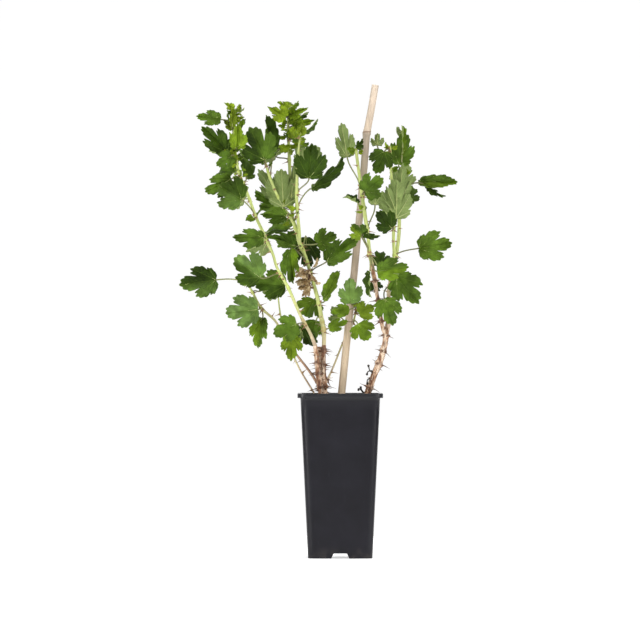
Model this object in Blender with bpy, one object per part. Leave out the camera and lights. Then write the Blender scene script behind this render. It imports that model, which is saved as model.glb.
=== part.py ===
# A young spiny currant bush in a deep square nursery pot, with a bamboo cane beside it.
# X runs to the right of the front view, Y away from the viewer, Z up. The origin is on the ground,
# under the middle of the whole outline, so the pot stands a little to the right of it.
# All tables are in millimetres and become metres through MM.

import math
import random

import bmesh
import bpy
from mathutils import Matrix, Quaternion, Vector
from mathutils.bvhtree import BVHTree
from mathutils.geometry import delaunay_2d_cdt

MM = 0.001
GAP = 0.3
TOWARDS_VIEWER = Vector((0.0, -1.0, 0.0))

# The pot: a standard deep square pot, 110 mm across its rim and 212 mm high.
POT_X = 26.0
POT_Y = 0.0
POT_HEIGHT = 212.0
RIM_HALF = 55.0
RIM_HEIGHT = 5.7
RIM_CORNER = 12.5
RIM_CHAMFER = 0.8
NECK_HALF = 51.2
NECK_CORNER = 10.5
FOOT_HALF = 41.5
FOOT_CORNER = 9.0
WALL = 1.6
FLOOR_TOP = 10.0
FLOOR_THICKNESS = 1.8
FOOT_WEB_CORNER = 26.0
CORNER_STEPS = 5
NOTCH_HEIGHT = 6.5
NOTCH_BOTTOM_WIDTH = 23.0
NOTCH_TOP_WIDTH = 17.4
DRAIN_RADIUS = 4.0
DRAIN_OFFSET = 22.0
DRAIN_SIDES = 10

# The soil fills the pot to a little under its rim.
SOIL_TOP = 199.0
SOIL_MOUND = 2.4
SOIL_LUMP = 0.7
SOIL_RINGS = (0.86, 0.64, 0.38, 0.15)

# The bamboo cane: a 600 mm cane of 10 mm, pushed down almost to the pot's floor.
CANE_BASE = Vector((9.2, 10.0, 13.0))
CANE_AXIS = [
    (28, 10, 213), (37, 10, 303), (44, 11, 366), (52, 12, 450), (57, 12, 505), (60, 12, 546), (66, 12, 577),
    (71.5, 12, 610),
]
CANE_BASE_RADIUS = 5.1
CANE_TOP_RADIUS = 4.5
CANE_SIDES = 12
CANE_NODES = (58, 303, 548)
CANE_NODE_SWELL = 0.8
CANE_NODE_HALF = 4.0

# Stems: x, y, z and radius at the places where each one bends. A smooth curve runs through them.
STEMS = {
    "wood_main": [(9, -4, 201, 4.2), (5, -2, 240, 3.8), (5, 0, 274, 2.9)],
    "wood_outer": [(5, -9, 201, 4.2), (-1, -9, 235, 3.7), (-5, -6, 273, 2.9)],
    "wood_stub": [(6, 3, 206, 4.0), (1, 5, 240, 3.6), (1, 6, 272, 3.2)],
    "wood_low": [(4, 2, 201, 3.4), (-1, 3, 219, 3.0), (-5, 3, 227, 1.8)],
    "wood_mid": [(7, -2, 226, 2.0), (10, 2, 230, 1.3)],
    "wood_right": [
        (57, -3, 200, 4.6), (62, -4, 214, 4.4), (69, -6, 234, 4.0), (75, -8, 248, 4.4), (80, -9, 262, 3.8),
        (84, -9, 278, 3.6), (85, -9, 288, 4.2),
    ],
    "wood_fork_left": [(85, -9, 286, 2.8), (80, -11, 300, 2.6), (75, -15, 330, 2.4), (67, -21, 379, 2.3)],
    "wood_fork_right": [(85, -9, 286, 3.0), (88, -5, 304, 3.0), (89, 2, 332, 2.6)],
    "outer": [
        (-14, -10, 290, 2.7), (-26, -14, 312, 2.6), (-40, -21, 346, 2.6), (-60, -28, 388, 2.4),
        (-68, -31, 408, 2.5), (-83, -34, 438, 2.3), (-93, -34, 468, 2.1), (-105, -34, 499, 2.0),
        (-110, -31, 535, 1.8), (-111, -30, 560, 1.5), (-109, -30, 577, 1.1),
    ],
    "main": [
        (5, 1, 290, 2.7), (2, 4, 308, 2.8), (-3, 8, 334, 2.6), (-18, 11, 386, 2.2), (-26, 10, 405, 2.6),
        (-30, 8, 420, 2.3), (-35, 5, 434, 2.6), (-48, 0, 453, 1.7), (-63, -8, 485, 1.6), (-72, -14, 514, 1.2),
    ],
    "inner": [
        (-35, 5, 433, 2.2), (-37, 11, 458, 2.3), (-39, 18, 500, 2.2), (-41, 22, 550, 1.8),
        (-41, 22, 580, 1.1),
    ],
    "middle": [
        (-26, 10, 404, 2.2), (-27, 4, 422, 2.2), (-30, -9, 458, 2.2), (-29, -19, 502, 2.0),
        (-26, -25, 541, 1.2),
    ],
    "low": [
        (-15, 7, 242, 1.7), (-38, 13, 272, 1.5), (-57, 16, 304, 1.5), (-76, 12, 322, 1.9), (-86, 3, 340, 1.5),
        (-94, -2, 355, 1.2),
    ],
    "thin": [
        (2, 13, 180, 1.3), (-3, 15, 200, 1.3), (-9, 18, 214, 1.2), (-28, 27, 246, 1.2), (-43, 33, 283, 1.1),
        (-51, 36, 312, 1.1), (-55, 38, 345, 0.9),
    ],
    "mid": [(18, 9, 248, 1.2), (30, 21, 278, 1.2), (43, 21, 304, 1.4), (48, 12, 328, 1.0)],
    "front": [
        (64, -26, 389, 2.4), (62, -24, 412, 2.2), (57, -18, 447, 2.6), (53, -12, 474, 2.1),
        (49, -9, 505, 2.0), (46, -6, 528, 1.9),
    ],
    "back": [
        (89, 6, 345, 2.6), (96, 15, 381, 2.6), (95, 13, 410, 2.1), (95, 8, 448, 2.0), (92, 1, 495, 1.9),
        (90, -2, 531, 1.7),
    ],
    "far": [(97, 15, 379, 2.2), (102, 25, 418, 2.4), (103, 38, 468, 2.0), (107, 45, 509, 1.2)],
    "dry": [(-11, 7, 348, 1.2), (-14, 6, 354, 1.2), (-14, 0, 372, 0.9)],
}
SPUR_ON = "main"
SPUR_Z = 348.6
SPUR_WAY = Vector((-0.94, -0.31, -0.15))

# The stems that make up each solid. The first of a leafy one carries the others.
CROWNS = {
    "left_crown_wood": ["wood_main", "wood_outer", "wood_stub", "wood_low", "wood_mid"],
    "right_crown_wood": ["wood_right", "wood_fork_left", "wood_fork_right"],
}
SHOOTS = {
    "outer_left_shoot": ["outer"],
    "main_shoot": ["main", "inner", "middle"],
    "low_left_shoot": ["low"],
    "thin_left_shoot": ["thin"],
    "thin_middle_shoot": ["mid"],
    "front_right_shoot": ["front"],
    "back_right_shoot": ["back", "far"],
}

# A shoot grows on from the end of its wood, which is cut square a hair below it.
GROWS_FROM = {
    "outer": "wood_outer",
    "main": "wood_main",
    "low": "wood_low",
    "mid": "wood_mid",
    "front": "wood_fork_left",
    "back": "wood_fork_right",
}

# The buried stumps: x, y, radius at the top, radius at the bottom, z of the bottom.
STUMPS = {
    "left_crown_wood": (7, -3, 11.0, 5.0, 120),
    "right_crown_wood": (56.5, -3, 6.4, 3.6, 135),
}
STUMP_TOP = 205.0
THIN_HOLE_TOP = 232.0
STUMP_SHOULDER = 0.72

# Full leaves: the stem, the height where the stalk leaves it, the blade's base, the tip of its middle lobe,
# the turn of the blade about its midrib (0 shows its upper face to the viewer, 180 its underside) and its
# width beside a normal blade's.
LEAVES = [
    ("outer", 560, (-124, -38, 562), (-156, -50, 569), 35, 0.55),
    ("outer", 526, (-120, -38, 522), (-149, -55, 554), 10, 0.58),
    ("outer", 515, (-114, -48, 515), (-130, -72, 508), 0, 0.9),
    ("outer", 497, (-108, -18, 497), (-133, 10, 502), 30, 0.9),
    ("outer", 490, (-114, -50, 487), (-146, -65, 469), -20, 0.7),
    ("outer", 440, (-101, -45, 461), (-130, -68, 479), 0, 0.95),
    ("outer", 482, (-95, -12, 490), (-98, 12, 528), 58, 0.75),
    ("outer", 540, (-121, -2, 533), (-138, 30, 527), 180, 0.75),
    ("outer", 461, (-98, -5, 463), (-121, 30, 472), 180, 0.8),
    ("outer", 410, (-75, -42, 412), (-110, -65, 411), -15, 0.6),
    ("outer", 404, (-71, -15, 404), (-88, 18, 399), 160, 0.9),
    ("outer", 366, (-77, -32, 361), (-108, -52, 384), 0, 0.95),
    ("outer", 348, (-45, -12, 349), (-80, -20, 353), 0, 0.85),
    ("outer", 301, (-30, -25, 301), (-57, -42, 290), 0, 0.95),
    ("outer", 306, (-20, 4, 296), (-14, 20, 271), 30, 0.9),
    ("main", 506, (-72, -22, 515), (-90, -42, 550), 5, 1.0),
    ("main", 497, (-62, 5, 523), (-65, 15, 574), 66, 0.9),
    ("main", 466, (-51, 14, 457), (-76, 30, 499), 15, 0.62),
    ("main", 461, (-48, 24, 452), (-89, 46, 474), -30, 0.7),
    ("main", 442, (-43, -22, 438), (-73, -58, 441), 0, 0.62),
    ("main", 425, (-39, 28, 424), (-75, 62, 425), 55, 1.0),
    ("main", 403, (-26, 32, 404), (-62, 65, 417), 20, 1.0),
    ("main", 401, (-31, -18, 402), (-58, -50, 402), 30, 0.75),
    ("main", 402, (-4, 14, 403), (22, 0, 415), 0, 0.95),
    ("main", 368, (9, -4, 381), (44, -28, 411), 0, 0.68),
    ("main", 397, (-12, 26, 411), (-7, 38, 371), 20, 0.85),
    ("main", 381, (-38, 4, 395), (-42, -10, 353), 30, 0.8),
    ("main", 327, (6, 2, 331), (22, -5, 369), 0, 0.6),
    ("main", 330, (-8, 24, 329), (-21, 34, 309), 0, 1.05),
    ("main", 304, (-5, 28, 303), (-14, 36, 282), 0, 1.0),
    ("main", 296, (-9, 42, 297), (-14, 66, 281), 170, 0.7),
    ("main", 292, (12, 0, 296), (34, -10, 304), 0, 0.8),
    ("inner", 562, (-37, 30, 566), (-12, 48, 573), 70, 0.8),
    ("inner", 540, (-37, 10, 540), (-22, -22, 551), 0, 0.7),
    ("inner", 546, (-18, 30, 550), (0, 42, 565), 75, 0.9),
    ("inner", 513, (-57, 38, 518), (-72, 66, 531), 180, 0.8),
    ("inner", 452, (-45, 4, 456), (-43, -4, 505), 180, 0.34),
    ("middle", 470, (-14, -22, 489), (-11, -44, 532), 0, 0.78),
    ("middle", 451, (-10, -4, 475), (32, -16, 506), 65, 0.6),
    ("middle", 500, (-21, 10, 506), (-3, 42, 526), 180, 1.0),
    ("low", 354, (-134, -6, 358), (-177, -22, 352), 0, 0.82),
    ("low", 322, (-80, 4, 320), (-122, -8, 315), 0, 0.85),
    ("low", 321, (-74, 12, 308), (-83, 2, 273), 45, 0.6),
    ("low", 342, (-75, 38, 345), (-59, 70, 358), 180, 1.0),
    ("thin", 287, (-36, 5, 285), (-37, -16, 258), 0, 0.88),
    ("mid", 322, (37, -11, 320), (14, -22, 316), 0, 0.8),
    ("mid", 327, (40, -2, 328), (38, -12, 358), 0, 0.95),
    ("mid", 317, (51, 4, 315), (68, -10, 324), 0, 1.1),
    ("mid", 304, (49, -2, 301), (61, -14, 282), 0, 1.2),
    ("mid", 296, (27, 34, 310), (18, 58, 321), 180, 0.9),
    ("front", 478, (36, 2, 517), (30, 18, 557), 170, 0.6),
    ("front", 466, (57, -25, 471), (79, -50, 487), 0, 0.85),
    ("front", 422, (71, -8, 455), (71, -2, 478), 180, 0.8),
    ("front", 392, (55, -38, 411), (48, -76, 427), 0, 0.7),
    ("front", 391, (77, -12, 375), (78, 8, 397), 0, 0.9),
    ("front", 391, (78, -40, 371), (110, -58, 373), 0, 0.76),
    ("front", 391, (64, -40, 368), (61, -38, 335), 62, 0.8),
    ("front", 395, (69, 2, 357), (75, 14, 340), 10, 0.8),
    ("back", 526, (83, -15, 523), (73, -30, 498), 0, 1.0),
    ("far", 500, (102, 32, 509), (110, 15, 545), 0, 0.9),
    ("far", 477, (127, 28, 483), (177, 12, 486), 42, 0.6),
    ("far", 481, (102, 58, 482), (114, 78, 507), 180, 0.9),
    ("back", 437, (97, -12, 438), (99, -5, 486), 180, 0.75),
    ("far", 455, (110, 40, 461), (124, 58, 480), 10, 0.85),
    ("back", 424, (92, -14, 425), (75, -36, 443), 0, 0.85),
    ("back", 358, (99, -12, 363), (123, -35, 331), 0, 1.0),
    ("back", 350, (83, -30, 333), (92, -48, 303), 0, 0.9),
    ("back", 390, (128, 12, 399), (170, -8, 408), 0, 0.8),
    ("far", 446, (98, 55, 446), (95, 80, 471), 180, 1.0),
    ("back", 352, (106, 42, 350), (119, 75, 361), 180, 1.0),
]

# Small young leaves at the growing tips, in the same columns.
YOUNG_LEAVES = [
    ("outer", 539, (-105, -48, 527), (-104, -60, 556), 160, 0.5),
    ("outer", 572, (-112, -34, 577), (-120, -40, 585), 20, 0.8),
    ("outer", 576, (-107, -28, 578), (-100, -24, 584), 20, 0.6),
    ("outer", 553, (-102, -25, 552), (-97, -16, 568), -20, 0.4),
    ("outer", 303, (-25, -12, 298), (-27, 2, 284), 70, 0.9),
    ("main", 490, (-52, 2, 527), (-38, -4, 531), 20, 0.8),
    ("inner", 567, (-46, 10, 570), (-62, -8, 582), 0, 0.75),
    ("inner", 575, (-43, 20, 579), (-55, 18, 590), 20, 0.9),
    ("inner", 577, (-40, 28, 580), (-25, 34, 588), 10, 0.9),
    ("inner", 570, (-37, 15, 573), (-21, -8, 577), 0, 0.9),
    ("inner", 554, (-36, 20, 559), (-13, 5, 564), 0, 1.0),
    ("inner", 528, (-34, 28, 530), (-18, 30, 537), 20, 0.9),
    ("inner", 578, (-41, 32, 580), (-39, 42, 591), 20, 0.8),
    ("middle", 539, (-26, -28, 544), (-22, -40, 559), 20, 0.9),
    ("front", 451, (49, -28, 456), (34, -30, 469), 70, 0.6),
    ("front", 526, (47, -10, 528), (56, -12, 538), 30, 0.9),
    ("back", 506, (74, 18, 533), (74, 28, 546), 180, 1.0),
    ("far", 507, (107, 50, 526), (108, 58, 558), 75, 0.8),
]

# Curled dry leaves on the dead spur, in the same columns.
DRY_LEAVES = [
    ("dry", 350, (-14, 4, 350), (-20, 0, 336), 40, 0.5),
    ("dry", 362, (-17, 2, 360), (-27, -2, 350), -30, 0.5),
    ("dry", 371, (-15, -2, 371), (-20, -8, 357), 60, 0.5),
]

# Half of each blade's outline, from the tip round to the base: angle from the midrib in degrees, and
# distance from the base as a part of the blade's length. The lobes have blunt teeth.
FULL_OUTLINE = [
    (0, 1.00), (6, 0.89), (10, 0.94), (17, 0.79), (23, 0.57), (29, 0.75), (41, 0.82), (49, 0.74),
    (57, 0.71), (66, 0.50), (79, 0.50), (102, 0.30),
]
YOUNG_OUTLINE = [(0, 1.0), (9, 0.88), (16, 0.82), (23, 0.58), (34, 0.78), (50, 0.72), (66, 0.46), (95, 0.30)]
FULL_INNER = [(0, 0.30), (0, 0.68), (40, 0.42), (-40, 0.42)]
YOUNG_INNER = [(0, 0.35), (0, 0.7)]
BLADE_THICKNESS = 0.75
BLADE_ROOT_HALF = 0.9
BLADE_FOLD = 0.20
BLADE_DROOP = 0.16
BLADE_CUP = 0.22
BLADE_RIPPLE = 0.035
STALK_HALF = 0.6
STALK_STEPS = 2

STEM_SIDES = 6
STEM_STEP = 19.0
WOOD_SIDES = 8
SPINE_SIDES = 3
SPINE_RADIUS = 0.75
SPINE_LENGTHS = (5.5, 9.0)
WOOD_SPINE_STEP = 13.0
SHOOT_SPINE_STEP = 30.0
SPINE_CLEARANCE = 1.3
SPINE_TRIES = 5
SPINE_SEED = 11

POT_COLOUR = (0.022, 0.022, 0.024, 1.0)
SOIL_COLOUR = (0.035, 0.022, 0.014, 1.0)
CANE_COLOUR = (0.56, 0.42, 0.25, 1.0)
WOOD_COLOUR = (0.25, 0.12, 0.06, 1.0)
SHOOT_COLOUR = (0.10, 0.22, 0.03, 1.0)
DRY_COLOUR = (0.27, 0.15, 0.06, 1.0)


def clear_scene():
    for old in list(bpy.data.objects):
        bpy.data.objects.remove(old, do_unlink=True)


def make_material(name, colour, roughness):
    material = bpy.data.materials.new(name)
    material.use_nodes = True
    shader = material.node_tree.nodes["Principled BSDF"]
    shader.inputs["Base Color"].default_value = colour
    shader.inputs["Roughness"].default_value = roughness
    shader.inputs["Metallic"].default_value = 0.0
    return material


def make_object(name, mesh_data):
    # Turn a finished bmesh in millimetres into an object in metres.
    mesh_data.transform(Matrix.Scale(MM, 4))
    mesh = bpy.data.meshes.new(name)
    mesh_data.to_mesh(mesh)
    mesh_data.free()
    thing = bpy.data.objects.new(name, mesh)
    bpy.context.scene.collection.objects.link(thing)
    return thing


def make_cutter(name, mesh_data, target):
    cutter = make_object(name, mesh_data)
    cutter.hide_render = True
    cutter.display_type = "WIRE"
    cut = target.modifiers.new(name, "BOOLEAN")
    cut.operation = "DIFFERENCE"
    cut.object = cutter
    cut.solver = "EXACT"
    return cutter


def bridge(mesh_data, ring, next_ring):
    count = len(ring)
    for index in range(count):
        follower = (index + 1) % count
        mesh_data.faces.new((ring[index], ring[follower], next_ring[follower], next_ring[index]))


def rounded_square(half, corner, z):
    # Counter-clockwise from the +X side, with an arc at each corner.
    points = []
    for quarter in range(4):
        middle = math.pi / 4 + quarter * math.pi / 2
        centre_x = math.copysign(half - corner, math.cos(middle))
        centre_y = math.copysign(half - corner, math.sin(middle))
        for step in range(CORNER_STEPS + 1):
            angle = quarter * math.pi / 2 + step * math.pi / 2 / CORNER_STEPS
            x = POT_X + centre_x + corner * math.cos(angle)
            y = POT_Y + centre_y + corner * math.sin(angle)
            points.append(Vector((x, y, z)))
    return points


def outer_half(z):
    return FOOT_HALF + (NECK_HALF - FOOT_HALF) * z / (POT_HEIGHT - RIM_HEIGHT)


def outer_corner(z):
    return FOOT_CORNER + (NECK_CORNER - FOOT_CORNER) * z / (POT_HEIGHT - RIM_HEIGHT)


def make_pot():
    mesh_data = bmesh.new()
    neck_z = POT_HEIGHT - RIM_HEIGHT
    floor_bottom = FLOOR_TOP - FLOOR_THICKNESS
    profile = [
        (outer_half(floor_bottom) - WALL, FOOT_WEB_CORNER, floor_bottom),
        (FOOT_HALF - WALL, FOOT_WEB_CORNER, 0.0),
        (FOOT_HALF, FOOT_CORNER, 0.0),
        (NECK_HALF, NECK_CORNER, neck_z),
        (RIM_HALF, RIM_CORNER, neck_z),
        (RIM_HALF, RIM_CORNER, POT_HEIGHT - RIM_CHAMFER),
        (RIM_HALF - RIM_CHAMFER, RIM_CORNER - RIM_CHAMFER, POT_HEIGHT),
        (outer_half(POT_HEIGHT) - WALL, outer_corner(POT_HEIGHT) - WALL, POT_HEIGHT),
        (outer_half(FLOOR_TOP) - WALL, outer_corner(FLOOR_TOP) - WALL, FLOOR_TOP),
    ]
    rings = []
    for half, corner, z in profile:
        rings.append([mesh_data.verts.new(point) for point in rounded_square(half, corner, z)])
    for ring, next_ring in zip(rings, rings[1:]):
        bridge(mesh_data, ring, next_ring)
    mesh_data.faces.new(list(reversed(rings[0])))
    mesh_data.faces.new(rings[-1])
    pot = make_object("pot", mesh_data)
    cut_notches(pot)
    cut_drains(pot)
    pot.data.materials.append(make_material("black moulded plastic", POT_COLOUR, 0.5))
    return pot


def cut_notches(pot):
    # One trapezoid bar along each axis cuts the notches of two opposite sides.
    for name, turn in (("notch_bar_x", 0.0), ("notch_bar_y", math.pi / 2)):
        bar = bmesh.new()
        bmesh.ops.create_cube(bar, size=1.0)
        for vert in bar.verts:
            width = NOTCH_TOP_WIDTH if vert.co.z > 0 else NOTCH_BOTTOM_WIDTH + 2.0
            height = NOTCH_HEIGHT if vert.co.z > 0 else -2.0
            vert.co = Vector((vert.co.x * 3 * FOOT_HALF, vert.co.y * width, height))
        bar.transform(Matrix.Translation((POT_X, POT_Y, 0.0)) @ Matrix.Rotation(turn, 4, "Z"))
        make_cutter(name, bar, pot)


def cut_drains(pot):
    places = [(0.0, 0.0)]
    for quarter in range(4):
        angle = quarter * math.pi / 2
        places.append((DRAIN_OFFSET * math.cos(angle), DRAIN_OFFSET * math.sin(angle)))
    for number, (x, y) in enumerate(places):
        drain = bmesh.new()
        centre = Matrix.Translation((POT_X + x, POT_Y + y, FLOOR_TOP - FLOOR_THICKNESS / 2))
        bmesh.ops.create_cone(
            drain, cap_ends=True, segments=DRAIN_SIDES, radius1=DRAIN_RADIUS, radius2=DRAIN_RADIUS,
            depth=3 * FLOOR_THICKNESS, matrix=centre)
        make_cutter("drain_%d" % number, drain, pot)


def soil_height(point):
    across = max(abs(point.x - POT_X), abs(point.y - POT_Y)) / outer_half(SOIL_TOP)
    lumps = math.sin(0.31 * point.x + 1.0) * math.sin(0.27 * point.y + 2.0)
    return SOIL_TOP + SOIL_MOUND * (1 - across ** 2) + SOIL_LUMP * lumps * (1 - across)


def make_soil():
    mesh_data = bmesh.new()
    rings = []
    for z in (FLOOR_TOP + GAP, SOIL_TOP):
        inset = WALL + GAP
        points = rounded_square(outer_half(z) - inset, outer_corner(z) - inset, z)
        rings.append([mesh_data.verts.new(point) for point in points])
    edge = [vert.co.copy() for vert in rings[-1]]
    for share in SOIL_RINGS:
        ring = []
        for point in edge:
            place = Vector((POT_X + (point.x - POT_X) * share, POT_Y + (point.y - POT_Y) * share, 0.0))
            place.z = soil_height(place)
            ring.append(mesh_data.verts.new(place))
        rings.append(ring)
    for ring, next_ring in zip(rings, rings[1:]):
        bridge(mesh_data, ring, next_ring)
    mesh_data.faces.new(list(reversed(rings[0])))
    middle = Vector((POT_X, POT_Y, 0.0))
    middle.z = soil_height(middle)
    top = mesh_data.verts.new(middle)
    for index, vert in enumerate(rings[-1]):
        mesh_data.faces.new((vert, rings[-1][(index + 1) % len(edge)], top))
    soil = make_object("soil", mesh_data)
    soil.data.materials.append(make_material("potting soil", SOIL_COLOUR, 0.95))
    return soil


def tube(points, radii, sides, start_normal=None, end_normal=None):
    # A closed round bar through the points, its rings square to the way it runs.
    mesh_data = bmesh.new()
    last = len(points) - 1
    rings = []
    across = None
    for index, (centre, radius) in enumerate(zip(points, radii)):
        before = points[max(index - 1, 0)]
        after = points[min(index + 1, last)]
        normal = (after - before).normalized()
        if index == 0 and start_normal:
            normal = start_normal
        if index == last and end_normal:
            normal = end_normal
        if across is None:
            across = normal.cross(Vector((0.0, 1.0, 0.0)))
        across = (across - normal * across.dot(normal)).normalized()
        upright = normal.cross(across)
        ring = []
        for side in range(sides):
            angle = 2 * math.pi * side / sides
            place = centre + radius * (math.cos(angle) * across + math.sin(angle) * upright)
            ring.append(mesh_data.verts.new(place))
        rings.append(ring)
    for ring, next_ring in zip(rings, rings[1:]):
        bridge(mesh_data, ring, next_ring)
    mesh_data.faces.new(list(reversed(rings[0])))
    mesh_data.faces.new(rings[-1])
    return mesh_data


def smooth_route(points, radii):
    # A Catmull-Rom curve through the points, read at about every STEM_STEP, with the radii run along it.
    ends = [points[0] * 2 - points[1]] + points + [points[-1] * 2 - points[-2]]
    route = [points[0]]
    widths = [radii[0]]
    for index in range(len(points) - 1):
        before, start, end, after = ends[index:index + 4]
        steps = max(1, round((end - start).length / STEM_STEP))
        for step in range(1, steps + 1):
            share = step / steps
            straight = (end - before) * share
            bend = (before * 2 - start * 5 + end * 4 - after) * share ** 2
            turn = (start * 3 - before - end * 3 + after) * share ** 3
            route.append(start + (straight + bend + turn) / 2)
            widths.append(radii[index] + (radii[index + 1] - radii[index]) * share)
    return route, widths


def stem_points(name):
    points = [Vector(row[:3]) for row in STEMS[name]]
    radii = [row[3] for row in STEMS[name]]
    points, radii = smooth_route(points, radii)
    if name in GROWS_FROM:
        wood = STEMS[GROWS_FROM[name]][-1]
        end = Vector(wood[:3])
        start = end + (points[0] - end).normalized() * GAP
        points.insert(0, start)
        radii.insert(0, wood[3])
    return points, radii


def growing_way(shoot):
    # The way in which a shoot leaves the end of its wood.
    end = Vector(STEMS[GROWS_FROM[shoot]][-1][:3])
    return (Vector(STEMS[shoot][0][:3]) - end).normalized()


def stem_tube(name, sides):
    points, radii = stem_points(name)
    start_normal = growing_way(name) if name in GROWS_FROM else None
    end_normal = None
    for shoot, wood in GROWS_FROM.items():
        if wood == name:
            end_normal = growing_way(shoot)
    return tube(points, radii, sides, start_normal, end_normal)


def stem_at_height(name, z):
    # The stem's middle at a height: every stem climbs all the way.
    points, radii = stem_points(name)
    for lower, upper, radius in zip(points, points[1:], radii):
        if lower.z <= z <= upper.z:
            return lower.lerp(upper, (z - lower.z) / (upper.z - lower.z)), radius
    return points[-1], radii[-1]


def blade_plan(outline, inner):
    # The flat blade: its outline from the base round to the base again, and its inner points.
    half = [Vector((reach * math.cos(math.radians(turn)), reach * math.sin(math.radians(turn))))
            for turn, reach in outline]
    right = [Vector((point.x, -point.y)) for point in reversed(half[1:])]
    rim = right + half
    middle = [Vector((reach * math.cos(math.radians(turn)), reach * math.sin(math.radians(turn))))
              for turn, reach in inner]
    return rim, middle


def blade_height(u, v, phase):
    ripple = math.sin(9.0 * u + phase) * math.sin(8.0 * abs(v) + 0.6 * phase)
    return BLADE_FOLD * abs(v) - BLADE_DROOP * u * u - BLADE_CUP * v * v + BLADE_RIPPLE * ripple


def bezier(start, first, second, end, share):
    rest = 1 - share
    return (start * rest ** 3 + first * 3 * rest ** 2 * share
            + second * 3 * rest * share ** 2 + end * share ** 3)


def leaf(row, outline, inner, phase):
    # One closed mesh: a thin waved blade, and a stalk drawn out of its base edge into the stem.
    base, tip, turn, width = row[2:]
    base = Vector(base)
    tip = Vector(tip)
    length = (tip - base).length
    forward = (tip - base).normalized()
    face = TOWARDS_VIEWER - forward * TOWARDS_VIEWER.dot(forward)
    face = Quaternion(forward, math.radians(turn)) @ face.normalized()
    side = face.cross(forward)
    rim, middle = blade_plan(outline, inner)
    root = BLADE_ROOT_HALF / length
    flat = [Vector((0.0, -root))] + rim + [Vector((0.0, root))]
    rim_count = len(flat)
    flat += middle
    found = delaunay_2d_cdt(flat, [], [list(range(rim_count))], 1, 1e-6)
    triangles = [tuple(found[3][corner][0] for corner in face_corners) for face_corners in found[2]]
    mesh_data = bmesh.new()
    top = []
    bottom = []
    for point in flat:
        height = blade_height(point.x, point.y, phase)
        place = base + length * (forward * point.x + side * point.y * width + face * height)
        top.append(mesh_data.verts.new(place + face * BLADE_THICKNESS / 2))
        bottom.append(mesh_data.verts.new(place - face * BLADE_THICKNESS / 2))
    for corners in triangles:
        mesh_data.faces.new([top[corner] for corner in corners])
        mesh_data.faces.new([bottom[corner] for corner in reversed(corners)])
    for index in range(rim_count - 1):
        follower = index + 1
        mesh_data.faces.new((bottom[index], bottom[follower], top[follower]))
        mesh_data.faces.new((bottom[index], top[follower], top[index]))
    add_stalk(mesh_data, row, forward, face, side, (bottom, top, rim_count - 1))
    bmesh.ops.recalc_face_normals(mesh_data, faces=mesh_data.faces)
    return mesh_data


def add_stalk(mesh_data, row, forward, face, side, blade):
    stem, joint_z, base = row[:3]
    base = Vector(base)
    joint = stem_at_height(stem, joint_z)[0]
    bottom, top, last = blade
    reach = (base - joint).length
    first = base - forward * reach * 0.35
    second = joint + (base - joint) * 0.3 + Vector((0.0, 0.0, 0.12 * reach))
    ring = [top[last], top[0], bottom[0], bottom[last]]
    normal = -forward
    centre = base
    for step in range(1, STALK_STEPS + 1):
        share = step / STALK_STEPS
        place = bezier(base, first, second, joint, share)
        way = (place - centre).normalized()
        spin = normal.rotation_difference(way)
        side = spin @ side
        face = spin @ face
        normal = way
        centre = place
        corners = ((1, 1), (-1, 1), (-1, -1), (1, -1))
        next_ring = []
        for across, up in corners:
            corner = place + STALK_HALF * (side * across + face * up)
            next_ring.append(mesh_data.verts.new(corner))
        bridge(mesh_data, ring, next_ring)
        ring = next_ring
    mesh_data.faces.new(ring)


def spine(root, way, length):
    centre = root + way * length / 2
    turn = Vector((0.0, 0.0, 1.0)).rotation_difference(way).to_matrix().to_4x4()
    mesh_data = bmesh.new()
    bmesh.ops.create_cone(
        mesh_data, cap_ends=True, segments=SPINE_SIDES, radius1=SPINE_RADIUS, radius2=0.0,
        depth=length, matrix=Matrix.Translation(centre) @ turn)
    return mesh_data


def search_tree(mesh_data):
    tree = BVHTree.FromBMesh(mesh_data)
    mesh_data.free()
    return tree


def surroundings():
    # All that a spine could run into: the node it belongs to, whether it is a stem, and its surface.
    found = [("bamboo_cane", True, search_tree(cane_tube()))]
    for table, sides in ((CROWNS, WOOD_SIDES), (SHOOTS, STEM_SIDES)):
        for node, stems in table.items():
            found += [(node, True, search_tree(stem_tube(stem, sides))) for stem in stems]
            found += [(node, False, search_tree(growth)) for growth in leaves_on(stems)]
    found.append(("dried_spur", True, search_tree(spur_stem())))
    found += [("dried_spur", False, search_tree(growth)) for growth in dry_leaves()]
    return found


def is_clear(node, root, way, start, length, others):
    # True if the spine beyond its stem's bark keeps off the soil, all leaves and the other nodes' stems.
    for step in range(4):
        place = root + way * (start + (length - start) * step / 3)
        if place.z < SOIL_TOP + SOIL_MOUND + SPINE_CLEARANCE:
            return False
        for owner, is_stem, tree in others:
            if is_stem and owner == node:
                continue
            if tree.find_nearest(place, SPINE_CLEARANCE)[0] is not None:
                return False
    return True


def spines_along(node, name, gap, draw, others):
    # Spines all round the stem, one at a time, from a little above its start to near its tip.
    points, radii = stem_points(name)
    spines = []
    travelled = 0.0
    wanted = gap / 2
    angle = draw.uniform(0.0, 2 * math.pi)
    for lower, upper, radius in zip(points, points[1:], radii):
        span = (upper - lower).length
        along = (upper - lower).normalized()
        while travelled <= wanted < travelled + span:
            root = lower + along * (wanted - travelled)
            lean = draw.uniform(-0.1, 0.35)
            length = radius + draw.uniform(*SPINE_LENGTHS)
            for attempt in range(SPINE_TRIES):
                angle += math.radians(137.5)
                across = Quaternion(along, angle) @ along.orthogonal().normalized()
                way = (across + along * lean).normalized()
                if is_clear(node, root, way, radius + 1.5, length, others):
                    spines.append(spine(root, way, length))
                    break
            wanted += gap * draw.uniform(0.75, 1.25)
        travelled += span
    return spines


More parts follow.
